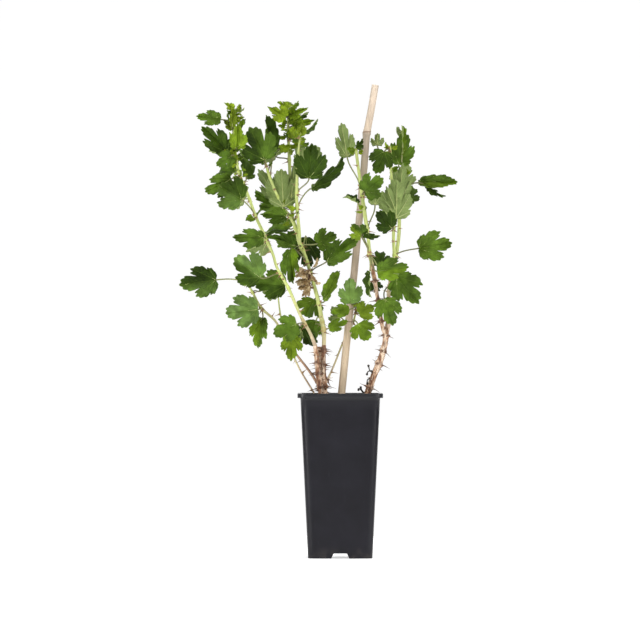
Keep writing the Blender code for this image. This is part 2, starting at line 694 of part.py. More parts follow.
def fuse(name, body, extras):
    # Join a stem and all that grows on it into one closed solid.
    node = make_object(name, body)
    growths = bpy.data.collections.new(name + "_growths")
    bpy.context.scene.collection.children.link(growths)
    for number, extra in enumerate(extras):
        growth = make_object("%s_growth_%d" % (name, number), extra)
        bpy.context.scene.collection.objects.unlink(growth)
        growths.objects.link(growth)
    union = node.modifiers.new("grown together", "BOOLEAN")
    union.operation = "UNION"
    union.operand_type = "COLLECTION"
    union.collection = growths
    union.solver = "MANIFOLD"
    bpy.context.view_layer.update()
    evaluated = node.evaluated_get(bpy.context.evaluated_depsgraph_get())
    joined = bpy.data.meshes.new_from_object(evaluated)
    node.modifiers.clear()
    node.data = joined
    for growth in list(growths.objects):
        bpy.data.objects.remove(growth, do_unlink=True)
    bpy.data.collections.remove(growths)
    return node


def leaves_on(stems):
    found = []
    for number, row in enumerate(LEAVES):
        if row[0] in stems:
            found.append(leaf(row, FULL_OUTLINE, FULL_INNER, 1.7 * number))
    for number, row in enumerate(YOUNG_LEAVES):
        if row[0] in stems:
            found.append(leaf(row, YOUNG_OUTLINE, YOUNG_INNER, 2.3 * number))
    return found


def make_shoot(name, stems, draw, others):
    extras = [stem_tube(stem, STEM_SIDES) for stem in stems[1:]]
    extras += leaves_on(stems)
    for stem in stems:
        extras += spines_along(name, stem, SHOOT_SPINE_STEP, draw, others)
    shoot = fuse(name, stem_tube(stems[0], STEM_SIDES), extras)
    shoot.data.materials.clear()
    shoot.data.materials.append(make_material(name + " green", SHOOT_COLOUR, 0.55))
    return shoot


def stump_tube(name, grown=0.0):
    # The plain part of a crown that stands in the soil, with a rounded shoulder on top.
    x, y, top_radius, bottom_radius, bottom = STUMPS[name]
    shoulder = 2.0
    points = [Vector((x, y, bottom - grown)), Vector((x, y, STUMP_TOP - shoulder)), Vector((x, y, STUMP_TOP))]
    radii = [bottom_radius + grown, top_radius + grown, top_radius * STUMP_SHOULDER + grown]
    if grown:
        points[-1].z += 4 * shoulder
        radii[-1] = radii[-2]
    return tube(points, radii, WOOD_SIDES + 4)


def make_crown(name, stems, draw, others):
    extras = [stem_tube(stem, WOOD_SIDES) for stem in stems]
    for stem in stems:
        extras += spines_along(name, stem, WOOD_SPINE_STEP, draw, others)
    crown = fuse(name, stump_tube(name), extras)
    crown.data.materials.clear()
    crown.data.materials.append(make_material(name + " bark", WOOD_COLOUR, 0.8))
    return crown


def spur_stem():
    # The dead twig stands square on the main shoot's bark, a hair off it.
    joint, bark = stem_at_height(SPUR_ON, SPUR_Z)
    start = joint + SPUR_WAY.normalized() * (bark + GAP)
    points, radii = stem_points("dry")
    return tube([start] + points, [radii[0]] + radii, STEM_SIDES, SPUR_WAY.normalized())


def dry_leaves():
    return [leaf(row, YOUNG_OUTLINE, YOUNG_INNER, 1.1 * number) for number, row in enumerate(DRY_LEAVES)]


def make_dried_spur():
    spur = fuse("dried_spur", spur_stem(), dry_leaves())
    spur.data.materials.clear()
    spur.data.materials.append(make_material("dead leaf brown", DRY_COLOUR, 0.9))
    return spur


def cane_radius(z):
    share = (z - CANE_BASE.z) / (CANE_AXIS[-1][2] - CANE_BASE.z)
    radius = CANE_BASE_RADIUS + (CANE_TOP_RADIUS - CANE_BASE_RADIUS) * share
    for node_z in CANE_NODES:
        radius += CANE_NODE_SWELL * math.exp(-((z - node_z) / CANE_NODE_HALF) ** 2)
    return radius


def cane_points():
    route = [CANE_BASE] + [Vector(point) for point in CANE_AXIS]
    heights = {point.z for point in route}
    for node_z in CANE_NODES:
        for step in (-1, 0, 1):
            heights.add(node_z + step * CANE_NODE_HALF)
    points = []
    for z in sorted(heights):
        for lower, upper in zip(route, route[1:]):
            if lower.z <= z <= upper.z:
                points.append(lower.lerp(upper, (z - lower.z) / (upper.z - lower.z)))
                break
    return points


def cane_tube():
    points = cane_points()
    return tube(points, [cane_radius(point.z) for point in points], CANE_SIDES)


def make_cane():
    cane = make_object("bamboo_cane", cane_tube())
    cane.data.materials.append(make_material("bamboo", CANE_COLOUR, 0.5))
    return cane


def cut_soil(soil):
    # Plain holes, a hair wider than the stumps, the thin stem and the cane.
    for name in STUMPS:
        make_cutter(name + "_hole", stump_tube(name, GAP), soil)
    points, radii = stem_points("thin")
    hole = [point for point in points if point.z <= THIN_HOLE_TOP]
    hole[0] = hole[0] - (hole[1] - hole[0]).normalized() * GAP
    make_cutter("thin_hole", tube(hole, [radii[0] + GAP] * len(hole), STEM_SIDES), soil)
    hole = [point for point in cane_points() if point.z <= POT_HEIGHT + 1.0]
    hole[0] = hole[0] - Vector((0.0, 0.0, GAP))
    radii = [cane_radius(point.z) + 1.2 * GAP for point in hole]
    make_cutter("cane_hole", tube(hole, radii, CANE_SIDES), soil)


def build():
    clear_scene()
    draw = random.Random(SPINE_SEED)
    make_pot()
    soil = make_soil()
    make_cane()
    others = surroundings()
    for name, stems in CROWNS.items():
        make_crown(name, stems, draw, others)
    for name, stems in SHOOTS.items():
        make_shoot(name, stems, draw, others)
    make_dried_spur()
    cut_soil(soil)


build()
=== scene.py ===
# A young spiny currant bush in a deep square black pot, with a bamboo cane beside it.
# Tables are in millimetres in the part's own frame: X to the right, Y away from the viewer, Z up.
import math
import random

import bmesh
import bpy
from mathutils import Matrix, Quaternion, Vector, noise


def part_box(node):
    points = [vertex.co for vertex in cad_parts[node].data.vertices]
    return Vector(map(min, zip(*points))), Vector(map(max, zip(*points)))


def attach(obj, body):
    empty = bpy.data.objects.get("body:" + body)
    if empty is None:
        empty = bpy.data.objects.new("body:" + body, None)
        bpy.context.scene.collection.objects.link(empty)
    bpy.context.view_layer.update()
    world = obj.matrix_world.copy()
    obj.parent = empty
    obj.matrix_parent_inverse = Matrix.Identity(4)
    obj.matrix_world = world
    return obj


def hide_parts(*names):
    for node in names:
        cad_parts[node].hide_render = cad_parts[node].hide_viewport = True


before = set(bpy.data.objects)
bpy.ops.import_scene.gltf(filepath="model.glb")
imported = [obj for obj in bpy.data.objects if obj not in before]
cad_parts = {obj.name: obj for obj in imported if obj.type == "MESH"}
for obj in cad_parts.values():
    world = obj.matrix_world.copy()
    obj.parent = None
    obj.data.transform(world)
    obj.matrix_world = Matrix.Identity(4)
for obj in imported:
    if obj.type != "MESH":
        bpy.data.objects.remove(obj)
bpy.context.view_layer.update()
mm = 0.001
print("frame loaded,", len(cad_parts), "nodes")


# Where everything grows: places given here, nearly all of them the same as in the solids

# Each stem's places where it bends: x, y, z and radius
stemRows = {
    "woodMain": [(7, -4, 201, 4.0), (4, -2, 240, 3.7), (5, 0, 274, 2.7)],
    "woodOuter": [(4, -9, 201, 4.0), (-2, -9, 235, 3.6), (-6, -6, 273, 2.6)],
    "woodStub": [(6, 3, 206, 4.0), (1, 5, 240, 3.6), (1, 6, 272, 3.2)],
    "woodLow": [(4, 2, 201, 3.2), (0, 3, 219, 2.7), (-5, 3, 227, 1.8)],
    "woodMid": [(7, -2, 226, 2.0), (10, 2, 230, 1.3)],
    "woodRight": [
        (57, -3, 200, 4.6), (62, -4, 214, 4.4), (69, -6, 234, 4.0), (75, -8, 248, 4.4), (80, -9, 262, 3.8),
        (84, -9, 278, 3.6), (85, -9, 288, 4.2),
    ],
    "forkLeft": [(85, -9, 286, 2.8), (80, -11, 300, 2.6), (75, -15, 330, 2.4), (67, -21, 379, 2.3)],
    "forkRight": [(85, -9, 286, 3.0), (88, -5, 304, 3.0), (89, 2, 332, 2.6)],
    "outer": [
        (-13, -10, 290, 2.1), (-25, -14, 312, 1.9), (-40, -21, 346, 2.1), (-55, -26, 373, 1.8),
        (-60, -28, 389, 1.8), (-68, -31, 408, 2.2), (-82, -34, 438, 2.0), (-93, -34, 468, 1.9),
        (-105, -34, 499, 1.8), (-110, -31, 535, 1.9), (-111, -30, 560, 1.8), (-109, -30, 577, 1.2),
    ],
    "main": [
        (5, 1, 290, 2.7), (2, 4, 308, 2.8), (-3, 8, 334, 2.6), (-18, 11, 386, 2.2), (-26, 10, 405, 2.6),
        (-30, 8, 420, 2.3), (-35, 5, 434, 2.6), (-48, 0, 453, 1.7), (-63, -8, 485, 1.6), (-72, -14, 514, 1.2),
    ],
    "inner": [
        (-35, 5, 433, 2.2), (-37, 11, 458, 2.3), (-39, 18, 500, 2.2), (-41, 22, 550, 1.8),
        (-41, 22, 580, 1.1),
    ],
    "middle": [
        (-26, 10, 404, 2.2), (-27, 4, 422, 2.2), (-30, -9, 458, 2.2), (-29, -19, 502, 2.0),
        (-26, -25, 541, 1.2),
    ],
    "low": [
        (-15, 7, 242, 1.7), (-38, 13, 272, 1.5), (-57, 16, 304, 1.5), (-76, 12, 322, 1.9), (-86, 3, 340, 1.5),
        (-94, -2, 355, 1.2),
    ],
    "thin": [
        (2, 13, 180, 1.3), (-3, 15, 200, 1.3), (-9, 18, 214, 1.2), (-28, 27, 246, 1.2), (-43, 33, 283, 1.1),
        (-51, 36, 312, 1.1), (-55, 38, 345, 0.9),
    ],
    "mid": [(18, 9, 248, 1.2), (30, 21, 278, 1.2), (43, 21, 304, 1.4), (48, 12, 328, 1.0)],
    "front": [
        (64, -26, 389, 2.4), (62, -24, 412, 2.2), (57, -18, 447, 2.6), (53, -12, 474, 2.1),
        (49, -9, 505, 2.0), (46, -6, 528, 1.9),
    ],
    "back": [
        (89, 6, 345, 2.6), (96, 15, 381, 2.6), (95, 13, 410, 2.1), (95, 8, 448, 2.0), (92, 1, 495, 1.9),
        (90, -2, 531, 1.7),
    ],
    "far": [(97, 15, 379, 2.2), (102, 25, 418, 2.4), (103, 38, 468, 2.0), (107, 45, 509, 1.2)],
    "dry": [(-11, 7, 348, 1.2), (-14, 6, 354, 1.2), (-14, 0, 372, 0.9)],
}
growsFrom = {
    "outer": "woodOuter", "main": "woodMain", "low": "woodLow", "mid": "woodMid", "front": "forkLeft",
    "back": "forkRight",
}

# Full leaves: stem, height where the stalk leaves it, base, tip, turn about the midrib, width, painted light
# and youth.
# The words are dark, middle, bright, fresh, silvery, young and a fainter sheen: dark to bright is painted
# shade and light, silvery and the fainter one a painted sheen. Two with a stroke between them are for the
# clockwise half and the other half of the blade.
fullLeaves = [
    ("outer", 560, (-128, -38, 564), (-156, -50, 568), 5, 0.62, "middle"),
    ("outer", 526, (-120, -38, 522), (-149, -55, 554), 10, 0.58, "dark"),
    ("outer", 515, (-114, -48, 517), (-129, -70, 506), 0, 0.75, "middle"),
    ("outer", 497, (-108, -18, 497), (-133, 10, 502), 30, 0.9, "middle"),
    ("outer", 490, (-114, -50, 487), (-146, -65, 469), -20, 0.7, "middle"),
    ("outer", 440, (-101, -45, 461), (-130, -68, 479), 0, 0.95, "dark/dusty"),
    ("outer", 482, (-95, -12, 490), (-98, 12, 528), 58, 0.75, "middle"),
    ("outer", 540, (-121, -2, 533), (-138, 30, 527), 180, 0.75, "middle"),
    ("outer", 461, (-98, -5, 463), (-121, 30, 472), 180, 0.8, "middle"),
    ("outer", 410, (-73, -42, 412), (-110, -65, 411), -15, 0.54, "middle"),
    ("outer", 404, (-70, -15, 405), (-90, 18, 399), 160, 0.72, "middle"),
    ("outer", 366, (-77, -32, 361), (-108, -52, 384), 0, 0.95, "silvery/dark"),
    ("outer", 348, (-45, -12, 351), (-82, -20, 354), 0, 0.95, "middle/dark"),
    ("outer", 301, (-30, -25, 301), (-57, -42, 290), 0, 0.95, "middle"),
    ("outer", 306, (-20, 4, 296), (-14, 20, 271), 30, 0.9, "dark"),
    ("main", 506, (-71, -22, 512), (-88, -42, 550), 5, 0.95, "middle/dark"),
    ("main", 497, (-61, 5, 518), (-65, 15, 573), 50, 0.6, "dark"),
    ("main", 466, (-51, 14, 457), (-78, 22, 498), 180, 0.48, "middle"),
    ("main", 461, (-48, 24, 453), (-90, 46, 472), -30, 0.52, "middle"),
    ("main", 442, (-45, -22, 440), (-73, -48, 442), 0, 0.52, "middle/dark"),
    ("main", 425, (-39, 28, 424), (-72, 60, 426), 50, 0.8, "middle/dark"),
    ("main", 403, (-26, 32, 404), (-58, 62, 415), 20, 0.55, "middle"),
    ("main", 401, (-33, -18, 402), (-64, -44, 416), 38, 0.42, "dark/middle"),
    ("main", 402, (-4, 14, 405), (21, 0, 417), 0, 0.86, "middle"),
    ("main", 368, (9, -4, 382), (45, -28, 411), -10, 0.52, "middle/dark"),
    ("main", 397, (-18, 26, 413), (-16, 38, 371), 10, 0.72, "dark"),
    ("main", 381, (-38, 4, 397), (-37, -10, 353), 25, 0.5, "middle/bright"),
    ("main", 327, (6, 2, 331), (22, -5, 369), -30, 0.55, "bright"),
    ("main", 330, (-7, 24, 333), (-20, 34, 309), 0, 1.15, "bright/middle"),
    ("main", 304, (-5, 28, 306), (-12, 36, 281), 0, 1.1, "middle"),
    ("main", 296, (-9, 42, 297), (-14, 66, 281), 170, 0.7, "middle"),
    ("main", 292, (12, 0, 296), (34, -10, 304), 0, 0.58, "bright"),
    ("inner", 562, (-37, 30, 566), (-12, 48, 573), 70, 0.5, "dark"),
    ("inner", 540, (-36, 10, 540), (-21, -22, 551), 0, 0.6, "young"),
    ("inner", 546, (-18, 30, 550), (0, 42, 565), 75, 0.7, "middle"),
    ("inner", 513, (-57, 38, 518), (-72, 66, 531), 180, 0.8, "middle"),
    ("inner", 452, (-47, -6, 452), (-50, -3, 503), 180, 0.72, "middle"),
    ("middle", 470, (-14, -22, 489), (-11, -44, 532), 0, 0.78, "dark"),
    ("middle", 451, (-12, -4, 476), (32, -16, 506), 60, 0.7, "dark"),
    ("middle", 500, (-21, 10, 506), (-3, 42, 526), 180, 1.0, "middle"),
    ("low", 354, (-134, -6, 358), (-177, -22, 352), 0, 0.82, "dark/dusty"),
    ("low", 322, (-80, 4, 320), (-122, -8, 315), 0, 0.85, "silvery"),
    ("low", 321, (-74, 12, 309), (-83, 2, 272), 40, 0.7, "bright/middle"),
    ("low", 342, (-75, 38, 345), (-59, 70, 358), 180, 1.0, "middle"),
    ("thin", 287, (-36, 5, 285), (-37, -16, 258), 0, 0.80, "fresh"),
    ("mid", 322, (37, -11, 320), (15, -22, 317), 0, 0.62, "bright"),
    ("mid", 327, (40, -2, 328), (38, -12, 358), 0, 0.95, "silvery"),
    ("mid", 317, (51, 4, 315), (68, -10, 324), 0, 1.0, "fresh"),
    ("mid", 304, (49, -2, 301), (61, -14, 282), 0, 1.2, "bright"),
    ("mid", 296, (27, 34, 310), (18, 58, 321), 180, 0.9, "middle"),
    ("front", 478, (35, 2, 517), (29, 18, 557), 170, 0.56, "middle"),
    ("front", 466, (57, -25, 471), (79, -50, 487), 0, 0.85, "middle"),
    ("front", 422, (71, -8, 455), (71, -2, 478), 180, 0.8, "middle"),
    ("front", 392, (54, -38, 415), (42, -70, 427), 0, 0.62, "middle/fresh"),
    ("front", 391, (77, -12, 375), (78, 8, 397), 0, 0.9, "dark"),
    ("front", 391, (74, -40, 369), (112, -58, 374), 0, 0.62, "bright/middle"),
    ("front", 391, (64, -40, 369), (60, -38, 336), 68, 0.55, "dark"),
    ("front", 395, (69, 2, 357), (75, 14, 340), 10, 0.8, "dark"),
    ("back", 526, (83, -15, 523), (73, -30, 498), 0, 1.0, "dark"),
    ("far", 500, (102, 32, 508), (109, 15, 545), 0, 0.78, "middle"),
    ("far", 477, (127, 28, 484), (176, 12, 487), -22, 0.48, "bright/middle"),
    ("far", 481, (102, 58, 482), (114, 78, 507), 180, 0.9, "middle"),
    ("back", 437, (98, -12, 437), (99, -5, 486), 180, 0.78, "middle"),
    ("far", 455, (110, 40, 461), (124, 58, 480), 10, 0.85, "middle"),
    ("back", 424, (92, -14, 425), (75, -36, 443), 0, 0.85, "dark"),
    ("back", 358, (99, -12, 361), (124, -35, 331), 0, 0.86, "middle"),
    ("back", 350, (83, -30, 333), (92, -48, 303), 0, 0.9, "middle"),
    ("back", 390, (128, 12, 399), (170, -8, 406), 0, 0.72, "middle"),
    ("far", 446, (98, 55, 446), (95, 80, 471), 180, 1.0, "middle"),
    ("back", 352, (106, 42, 350), (119, 75, 361), 180, 1.0, "middle"),
]
youngLeaves = [
    ("outer", 539, (-107, -46, 527), (-104, -58, 554), 15, 0.75, "fresh"),
    ("outer", 572, (-112, -34, 577), (-120, -40, 585), 20, 0.8, "young"),
    ("outer", 576, (-107, -28, 578), (-100, -24, 584), 20, 0.6, "young"),
    ("outer", 553, (-102, -25, 552), (-97, -16, 568), -20, 0.4, "bright"),
    ("outer", 303, (-25, -12, 298), (-27, 2, 284), 70, 0.9, "dark"),
    ("main", 490, (-52, 2, 527), (-38, -4, 531), 20, 0.8, "young"),
    ("inner", 567, (-45, 10, 569), (-61, -8, 578), 0, 0.8, "young"),
    ("inner", 575, (-43, 20, 578), (-54, 18, 589), 20, 0.6, "young"),
    ("inner", 577, (-40, 28, 580), (-25, 34, 587), 40, 0.45, "bright"),
    ("inner", 570, (-37, 15, 573), (-22, -8, 577), 10, 0.5, "fresh"),
    ("inner", 554, (-36, 20, 557), (-13, 5, 563), 0, 0.7, "fresh"),
    ("inner", 528, (-34, 28, 530), (-18, 30, 537), 20, 0.7, "bright"),
    ("inner", 578, (-41, 32, 580), (-39, 42, 591), 20, 0.8, "young"),
    ("middle", 539, (-26, -28, 545), (-21, -40, 558), 20, 0.7, "young"),
    ("front", 451, (49, -28, 456), (34, -30, 469), 70, 0.6, "dark"),
    ("front", 526, (47, -10, 528), (56, -12, 538), 30, 0.9, "dark"),
    ("back", 506, (74, 18, 533), (74, 28, 546), 180, 1.0, "middle"),
    ("far", 507, (107, 50, 526), (108, 58, 558), 75, 0.8, "middle"),
]
extraLeaves = [   # young leaves that only the finished look has
    ("far", 507, (106, 10, 519), (110, 4, 558), 50, 0.2, "bright"),
    ("far", 477, (138, 24, 480), (159, 18, 464), 50, 0.42, "dark"),
    ("front", 392, (56, -40, 417), (77, -46, 412), 55, 0.55, "dark"),
    ("back", 437, (101, -6, 455), (107, 2, 507), 178, 0.5, "silvery"),
    ("back", 437, (100, -8, 440), (86, -12, 478), 172, 0.5, "middle"),
    ("outer", 556, (-113, -38, 554), (-111, -42, 580), 30, 0.42, "young"),
    ("outer", 552, (-112, -33, 552), (-123, -36, 563), 20, 0.8, "young"),
    ("outer", 512, (-108, -36, 510), (-122, -44, 526), 30, 0.7, "young"),
    ("inner", 462, (-37, -4, 464), (-33, 8, 506), 175, 0.3, "middle"),
]
dryLeaves = [
    ("dry", 350, (-14, 4, 350), (-20, 0, 336), 40, 0.5, "middle"),
    ("dry", 362, (-17, 2, 360), (-27, -2, 350), -30, 0.5, "middle"),
    ("dry", 371, (-15, -2, 371), (-20, -8, 357), 60, 0.5, "middle"),
]


# Shaping helpers

def addObject(name, data):
    thing = bpy.data.objects.new(name, data)
    bpy.context.scene.collection.objects.link(thing)
    return thing


def newShape():
    shape = bmesh.new()
    shape.loops.layers.uv.new("surfaceMap")
    shape.verts.layers.float_color.new("look")
    return shape


def meshFrom(shape, name):
    # The shape is freed, so it can't be used again.
    mesh = bpy.data.meshes.new(name)
    shape.to_mesh(mesh)
    shape.free()
    return mesh


def addTo(target, shape):
    passing = meshFrom(shape, "passing")
    target.from_mesh(passing)
    bpy.data.meshes.remove(passing)


def lookOf(shape):
    return shape.verts.layers.float_color["look"]


def smoothFaces(shape, slot=0):
    for face in shape.faces:
        face.material_index = slot
        face.smooth = True


def paint(shape, look, slot=0):
    layer = lookOf(shape)
    for vert in shape.verts:
        vert[layer] = look
    smoothFaces(shape, slot)


def withinOne(value):
    return min(1.0, max(0.0, value))


def bells(spot, middles, width):
    # How near a spot is to any of the middles: one at a middle, and falling away over the width.
    return sum(math.exp(-((spot - middle) / width) ** 2) for middle in middles)


def anyAngle(draw):
    return draw.uniform(0, 6.28)


def asideOf(way, angle):
    # A way straight out from an axis, at an angle round it.
    return Quaternion(way, angle) @ way.orthogonal().normalized()


def roundPlace(middle, radius, angle, across, upright):
    return middle + radius * (math.cos(angle) * across + math.sin(angle) * upright)


def rolledSheet(around, rings, placeAt):
    # A flat grid rolled up and closed at both ends. placeAt gets a point's share of the way round and along.
    shape = newShape()
    bmesh.ops.create_grid(shape, x_segments=around, y_segments=rings, size=0.5)
    surface = shape.loops.layers.uv["surfaceMap"]
    for face in shape.faces:
        for loop in face.loops:
            loop[surface].uv = (loop.vert.co.x + 0.5, loop.vert.co.y + 0.5)
    for vert in shape.verts:
        vert.co = placeAt(vert.co.x + 0.5, vert.co.y + 0.5)
    bmesh.ops.remove_doubles(shape, verts=shape.verts, dist=2e-6)
    rims = [edge for edge in shape.edges if edge.is_boundary]
    bmesh.ops.holes_fill(shape, edges=rims, sides=0)
    bmesh.ops.recalc_face_normals(shape, faces=shape.faces)
    return shape


def smoothRoute(points, radii, stride):
    # A Catmull-Rom curve through the points, read about every stride, with the radii run along it.
    ends = [points[0] * 2 - points[1]] + points + [points[-1] * 2 - points[-2]]
    route = [points[0]]
    widths = [radii[0]]
    for index in range(len(points) - 1):
        before, start, end, after = ends[index:index + 4]
        steps = max(1, round((end - start).length / stride))
        for step in range(1, steps + 1):
            share = step / steps
            straight = (end - before) * share
            bend = (before * 2 - start * 5 + end * 4 - after) * share ** 2
            turn = (start * 3 - before - end * 3 + after) * share ** 3
            route.append(start + (straight + bend + turn) / 2)
            widths.append(radii[index] + (radii[index + 1] - radii[index]) * share)
    return route, widths


def carriedFrames(route):
    # For each point, two ways across the route that don't twist on their way along it.
    frames = []
    across = None
    for index in range(len(route)):
        before = route[max(index - 1, 0)]
        after = route[min(index + 1, len(route) - 1)]
        way = (after - before).normalized()
        if across is None:
            across = way.orthogonal()
        across = (across - way * across.dot(way)).normalized()
        frames.append((across, way.cross(across)))
    return frames


def sweptTube(route, radii, sides, relief=lambda angle, ring: 1.0):
    # A round bar along the route. Relief changes the radius by angle and by ring.
    frames = carriedFrames(route)
    last = len(route) - 1

    def placeAt(share, along):
        ring = round(along * last)
        angle = 2 * math.pi * (share % 1.0)
        return roundPlace(route[ring], radii[ring] * relief(angle, ring), angle, *frames[ring])

    return rolledSheet(sides, last, placeAt)


def hornShape(way, sides, rings, middleAt, radiusAt):
    # A bar whose rings all face one way. Both rules get the ring's share of the length.
    across = way.orthogonal().normalized()
    upright = way.cross(across)

    def placeAt(share, along):
        step = round(along * rings) / rings
        angle = 2 * math.pi * (share % 1.0)
        return roundPlace(middleAt(step), radiusAt(step, angle), angle, across, upright)

    return rolledSheet(sides, rings, placeAt)


def stemRoute(name, stride):
    # A stem's middle line and radii in metres, grown on from the wood that carries it.
    carrier = stemRows[growsFrom[name]][-1:] if name in growsFrom else []
    rows = carrier + stemRows[name]
    return smoothRoute([Vector(row[:3]) * mm for row in rows], [row[3] * mm for row in rows], stride)


def stemAt(name, height, stride=4 * mm, between=True):
    # A stem's place at a height, its radius and its way on, read between two points or at the lower one.
    route, radii = stemRoute(name, stride)
    for lower, upper, radius in zip(route, route[1:], radii):
        if lower.z <= height <= upper.z:
            share = (height - lower.z) / (upper.z - lower.z) if between else 0.0
            return lower.lerp(upper, share), radius, (upper - lower).normalized()
    return route[-1], radii[-1], (route[-1] - route[-2]).normalized()


def finishPiece(name, shape, materials, nodes, sharp):
    mesh = meshFrom(shape, name)
    mesh.set_sharp_from_angle(angle=math.radians(sharp))
    for material in materials:
        mesh.materials.append(material)
    piece = addObject(name, mesh)
    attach(piece, "root")
    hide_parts(*nodes)
    return piece


# Material helpers: a new node goes into the tree that its inputs come from

def isSocket(value):
    return isinstance(value, bpy.types.NodeSocket)


def setInputs(node, inputs):
    for key, value in inputs.items():
        if isSocket(value):
            node.id_data.links.new(value, node.inputs[key])
        else:
            node.inputs[key].default_value = value


def addNode(kind, inputs, tree=None, **settings):
    if tree is None:
        tree = next(value.id_data for value in inputs.values() if isSocket(value))
    node = tree.nodes.new("ShaderNode" + kind)
    for key, value in settings.items():
        setattr(node, key, value)
    setInputs(node, inputs)
    return node


def calc(operation, *values, clamp=False):
    return addNode("Math", dict(enumerate(values)), operation=operation, use_clamp=clamp).outputs[0]


def weighted(*pairs, clamp=False):
    # The sum of each value times its weight.
    total = 0.0
    for value, weight in pairs:
        total = calc("MULTIPLY_ADD", value, weight, total, clamp=clamp and value is pairs[-1][0])
    return total


def opaque(colour):
    return colour if isSocket(colour) else (*colour, 1.0)


def blendOf(share, first, second, way="MIX"):
    inputs = {0: share, 6: opaque(first), 7: opaque(second)}
    return addNode("Mix", inputs, data_type="RGBA", blend_type=way).outputs[2]


def layered(colour, *layers):
    # Each layer is a share and the colour that is laid over what is there.
    for share, over in layers:
        colour = blendOf(share, colour, over)
    return colour


def shadedBy(colour, amount):
    # The colour made darker by an amount under one, or lighter by an amount over one.
    grey = addNode("CombineColor", {0: amount, 1: amount, 2: amount}).outputs[0]
    return blendOf(1.0, colour, grey, "MULTIPLY")


def noiseOf(place, scale, detail=3.0, roughness=0.55):
    inputs = {"Vector": place, "Scale": scale, "Detail": detail, "Roughness": roughness}
    return addNode("TexNoise", inputs).outputs["Fac"]


def cellsOf(place, scale, feature="F1"):
    return addNode("TexVoronoi", {"Vector": place, "Scale": scale}, feature=feature).outputs["Distance"]


def rangeOf(value, low, high, toLow=0.0, toHigh=1.0, smooth=True):
    inputs = {"Value": value, "From Min": low, "From Max": high, "To Min": toLow, "To Max": toHigh}
    kind = "SMOOTHSTEP" if smooth else "LINEAR"
    return addNode("MapRange", inputs, interpolation_type=kind).outputs["Result"]


def rampOf(value, *stops):
    ramp = addNode("ValToRGB", {"Fac": value})
    marks = ramp.color_ramp.elements
    while len(marks) < len(stops):
        marks.new(0.5)
    for mark, (position, colour) in zip(marks, stops):
        mark.position = position
        mark.color = opaque(colour)
    return ramp.outputs["Color"]


def stretched(place, *scale):
    return addNode("Mapping", {"Vector": place, "Scale": scale}).outputs["Vector"]


def heightOf(place):
    return addNode("SeparateXYZ", {0: place}).outputs["Z"]


def readLook(material):
    # What is painted on the points: red, green, blue and alpha.
    look = addNode("Attribute", {}, material.node_tree, attribute_name="look")
    parts = addNode("SeparateColor", {0: look.outputs["Color"]}).outputs
    return parts["Red"], parts["Green"], parts["Blue"], look.outputs["Alpha"]


def newMaterial(name):
    # The material, and the place on the object that its patterns are made from.
    material = bpy.data.materials.new(name)
    material.use_nodes = True
    return material, addNode("TexCoord", {}, material.node_tree).outputs["Object"]


def setShader(material, inputs):
    setInputs(material.node_tree.nodes["Principled BSDF"], inputs)
    return material


def finishMaterial(material, colour, roughness, relief, strength, distance, specular=0.5):
    bump = addNode("Bump", {"Height": relief, "Strength": strength, "Distance": distance})
    return setShader(material, {"Base Color": colour, "Roughness": roughness, "Specular IOR Level": specular,
                                "Normal": bump.outputs["Normal"]})


def cloudyMaterial(name, roughness, cloud, grain, strength, distance, *stops):
    # Clouds of colour under a fine grain: each is a noise's scale and detail.
    material, place = newMaterial(name)
    colour = rampOf(noiseOf(place, *cloud), *stops)
    return finishMaterial(material, colour, roughness, noiseOf(place, *grain), strength, distance)


# Camera, floor and light

studio = {
    "cameraAway": 9.0,         # metres in front of the bush
    "aimHeight": 0.3064,
    "viewWidth": 0.8254,       # what the square picture spans at the bush
    "filmWidth": 36.0,
    "worldStrength": 0.20,
    "floorGlow": 0.52,
    "backGlow": 0.95,
    "glowFrom": 0.2,           # behind the bush, where the paper starts to glow more
    "glowTo": 2.4,
    "floorHalf": 1.1,
    "floorFront": -2.5,
    "floorBack": 0.9,
    "cardBack": 3.0,
    "cardCurve": 0.55,
    "surroundHalf": 16.0,
    "surroundFlat": 10.5,      # metres from the bush, where it starts to rise
    "surroundCurve": 0.12,
    "surroundSunk": 0.002,
}
# Each lamp's name, place, width, height, power in watts, and where it points
softboxes = [
    ("key", (1.2, -1.9, 2.3), 1.5, 1.5, 41.0, (0.0, 0.0, 0.3)),
    ("fill", (-2.0, -1.8, 0.8), 1.5, 1.3, 22.0, (0.0, 0.0, 0.25)),
    ("low", (2.1, -1.7, 0.55), 1.2, 0.8, 12.0, (0.0, 0.0, 0.25)),
    ("top", (-0.1, 0.4, 2.4), 1.4, 1.4, 17.0, (0.0, 0.0, 0.3)),
    ("left strip", (-1.4, -0.75, 0.25), 0.16, 1.2, 12.0, (0.0, 0.0, 0.15)),
    ("right strip", (1.5, -0.65, 0.25), 0.15, 1.2, 4.8, (0.05, 0.0, 0.15)),
]


def addCamera():
    lens = bpy.data.cameras.new("front")
    lens.sensor_width = studio["filmWidth"]
    lens.lens = studio["filmWidth"] * studio["cameraAway"] / studio["viewWidth"]
    camera = addObject("front", lens)
    camera.location = (0.0, -studio["cameraAway"], studio["aimHeight"])
    camera.rotation_euler = (math.pi / 2, 0.0, 0.0)
    bpy.context.scene.camera = camera


def paperMaterial(name, grey, nearGlow, farGlow):
    material, place = newMaterial(name)
    run = addNode("SeparateXYZ", {0: place}).outputs["Y"]
    glow = rangeOf(run, studio["glowFrom"], studio["glowTo"], nearGlow, farGlow, False)
    return setShader(material, {"Base Color": (grey, grey, grey, 1), "Roughness": 0.9, "Emission Color": glow,
                                "Emission Strength": 1.0})


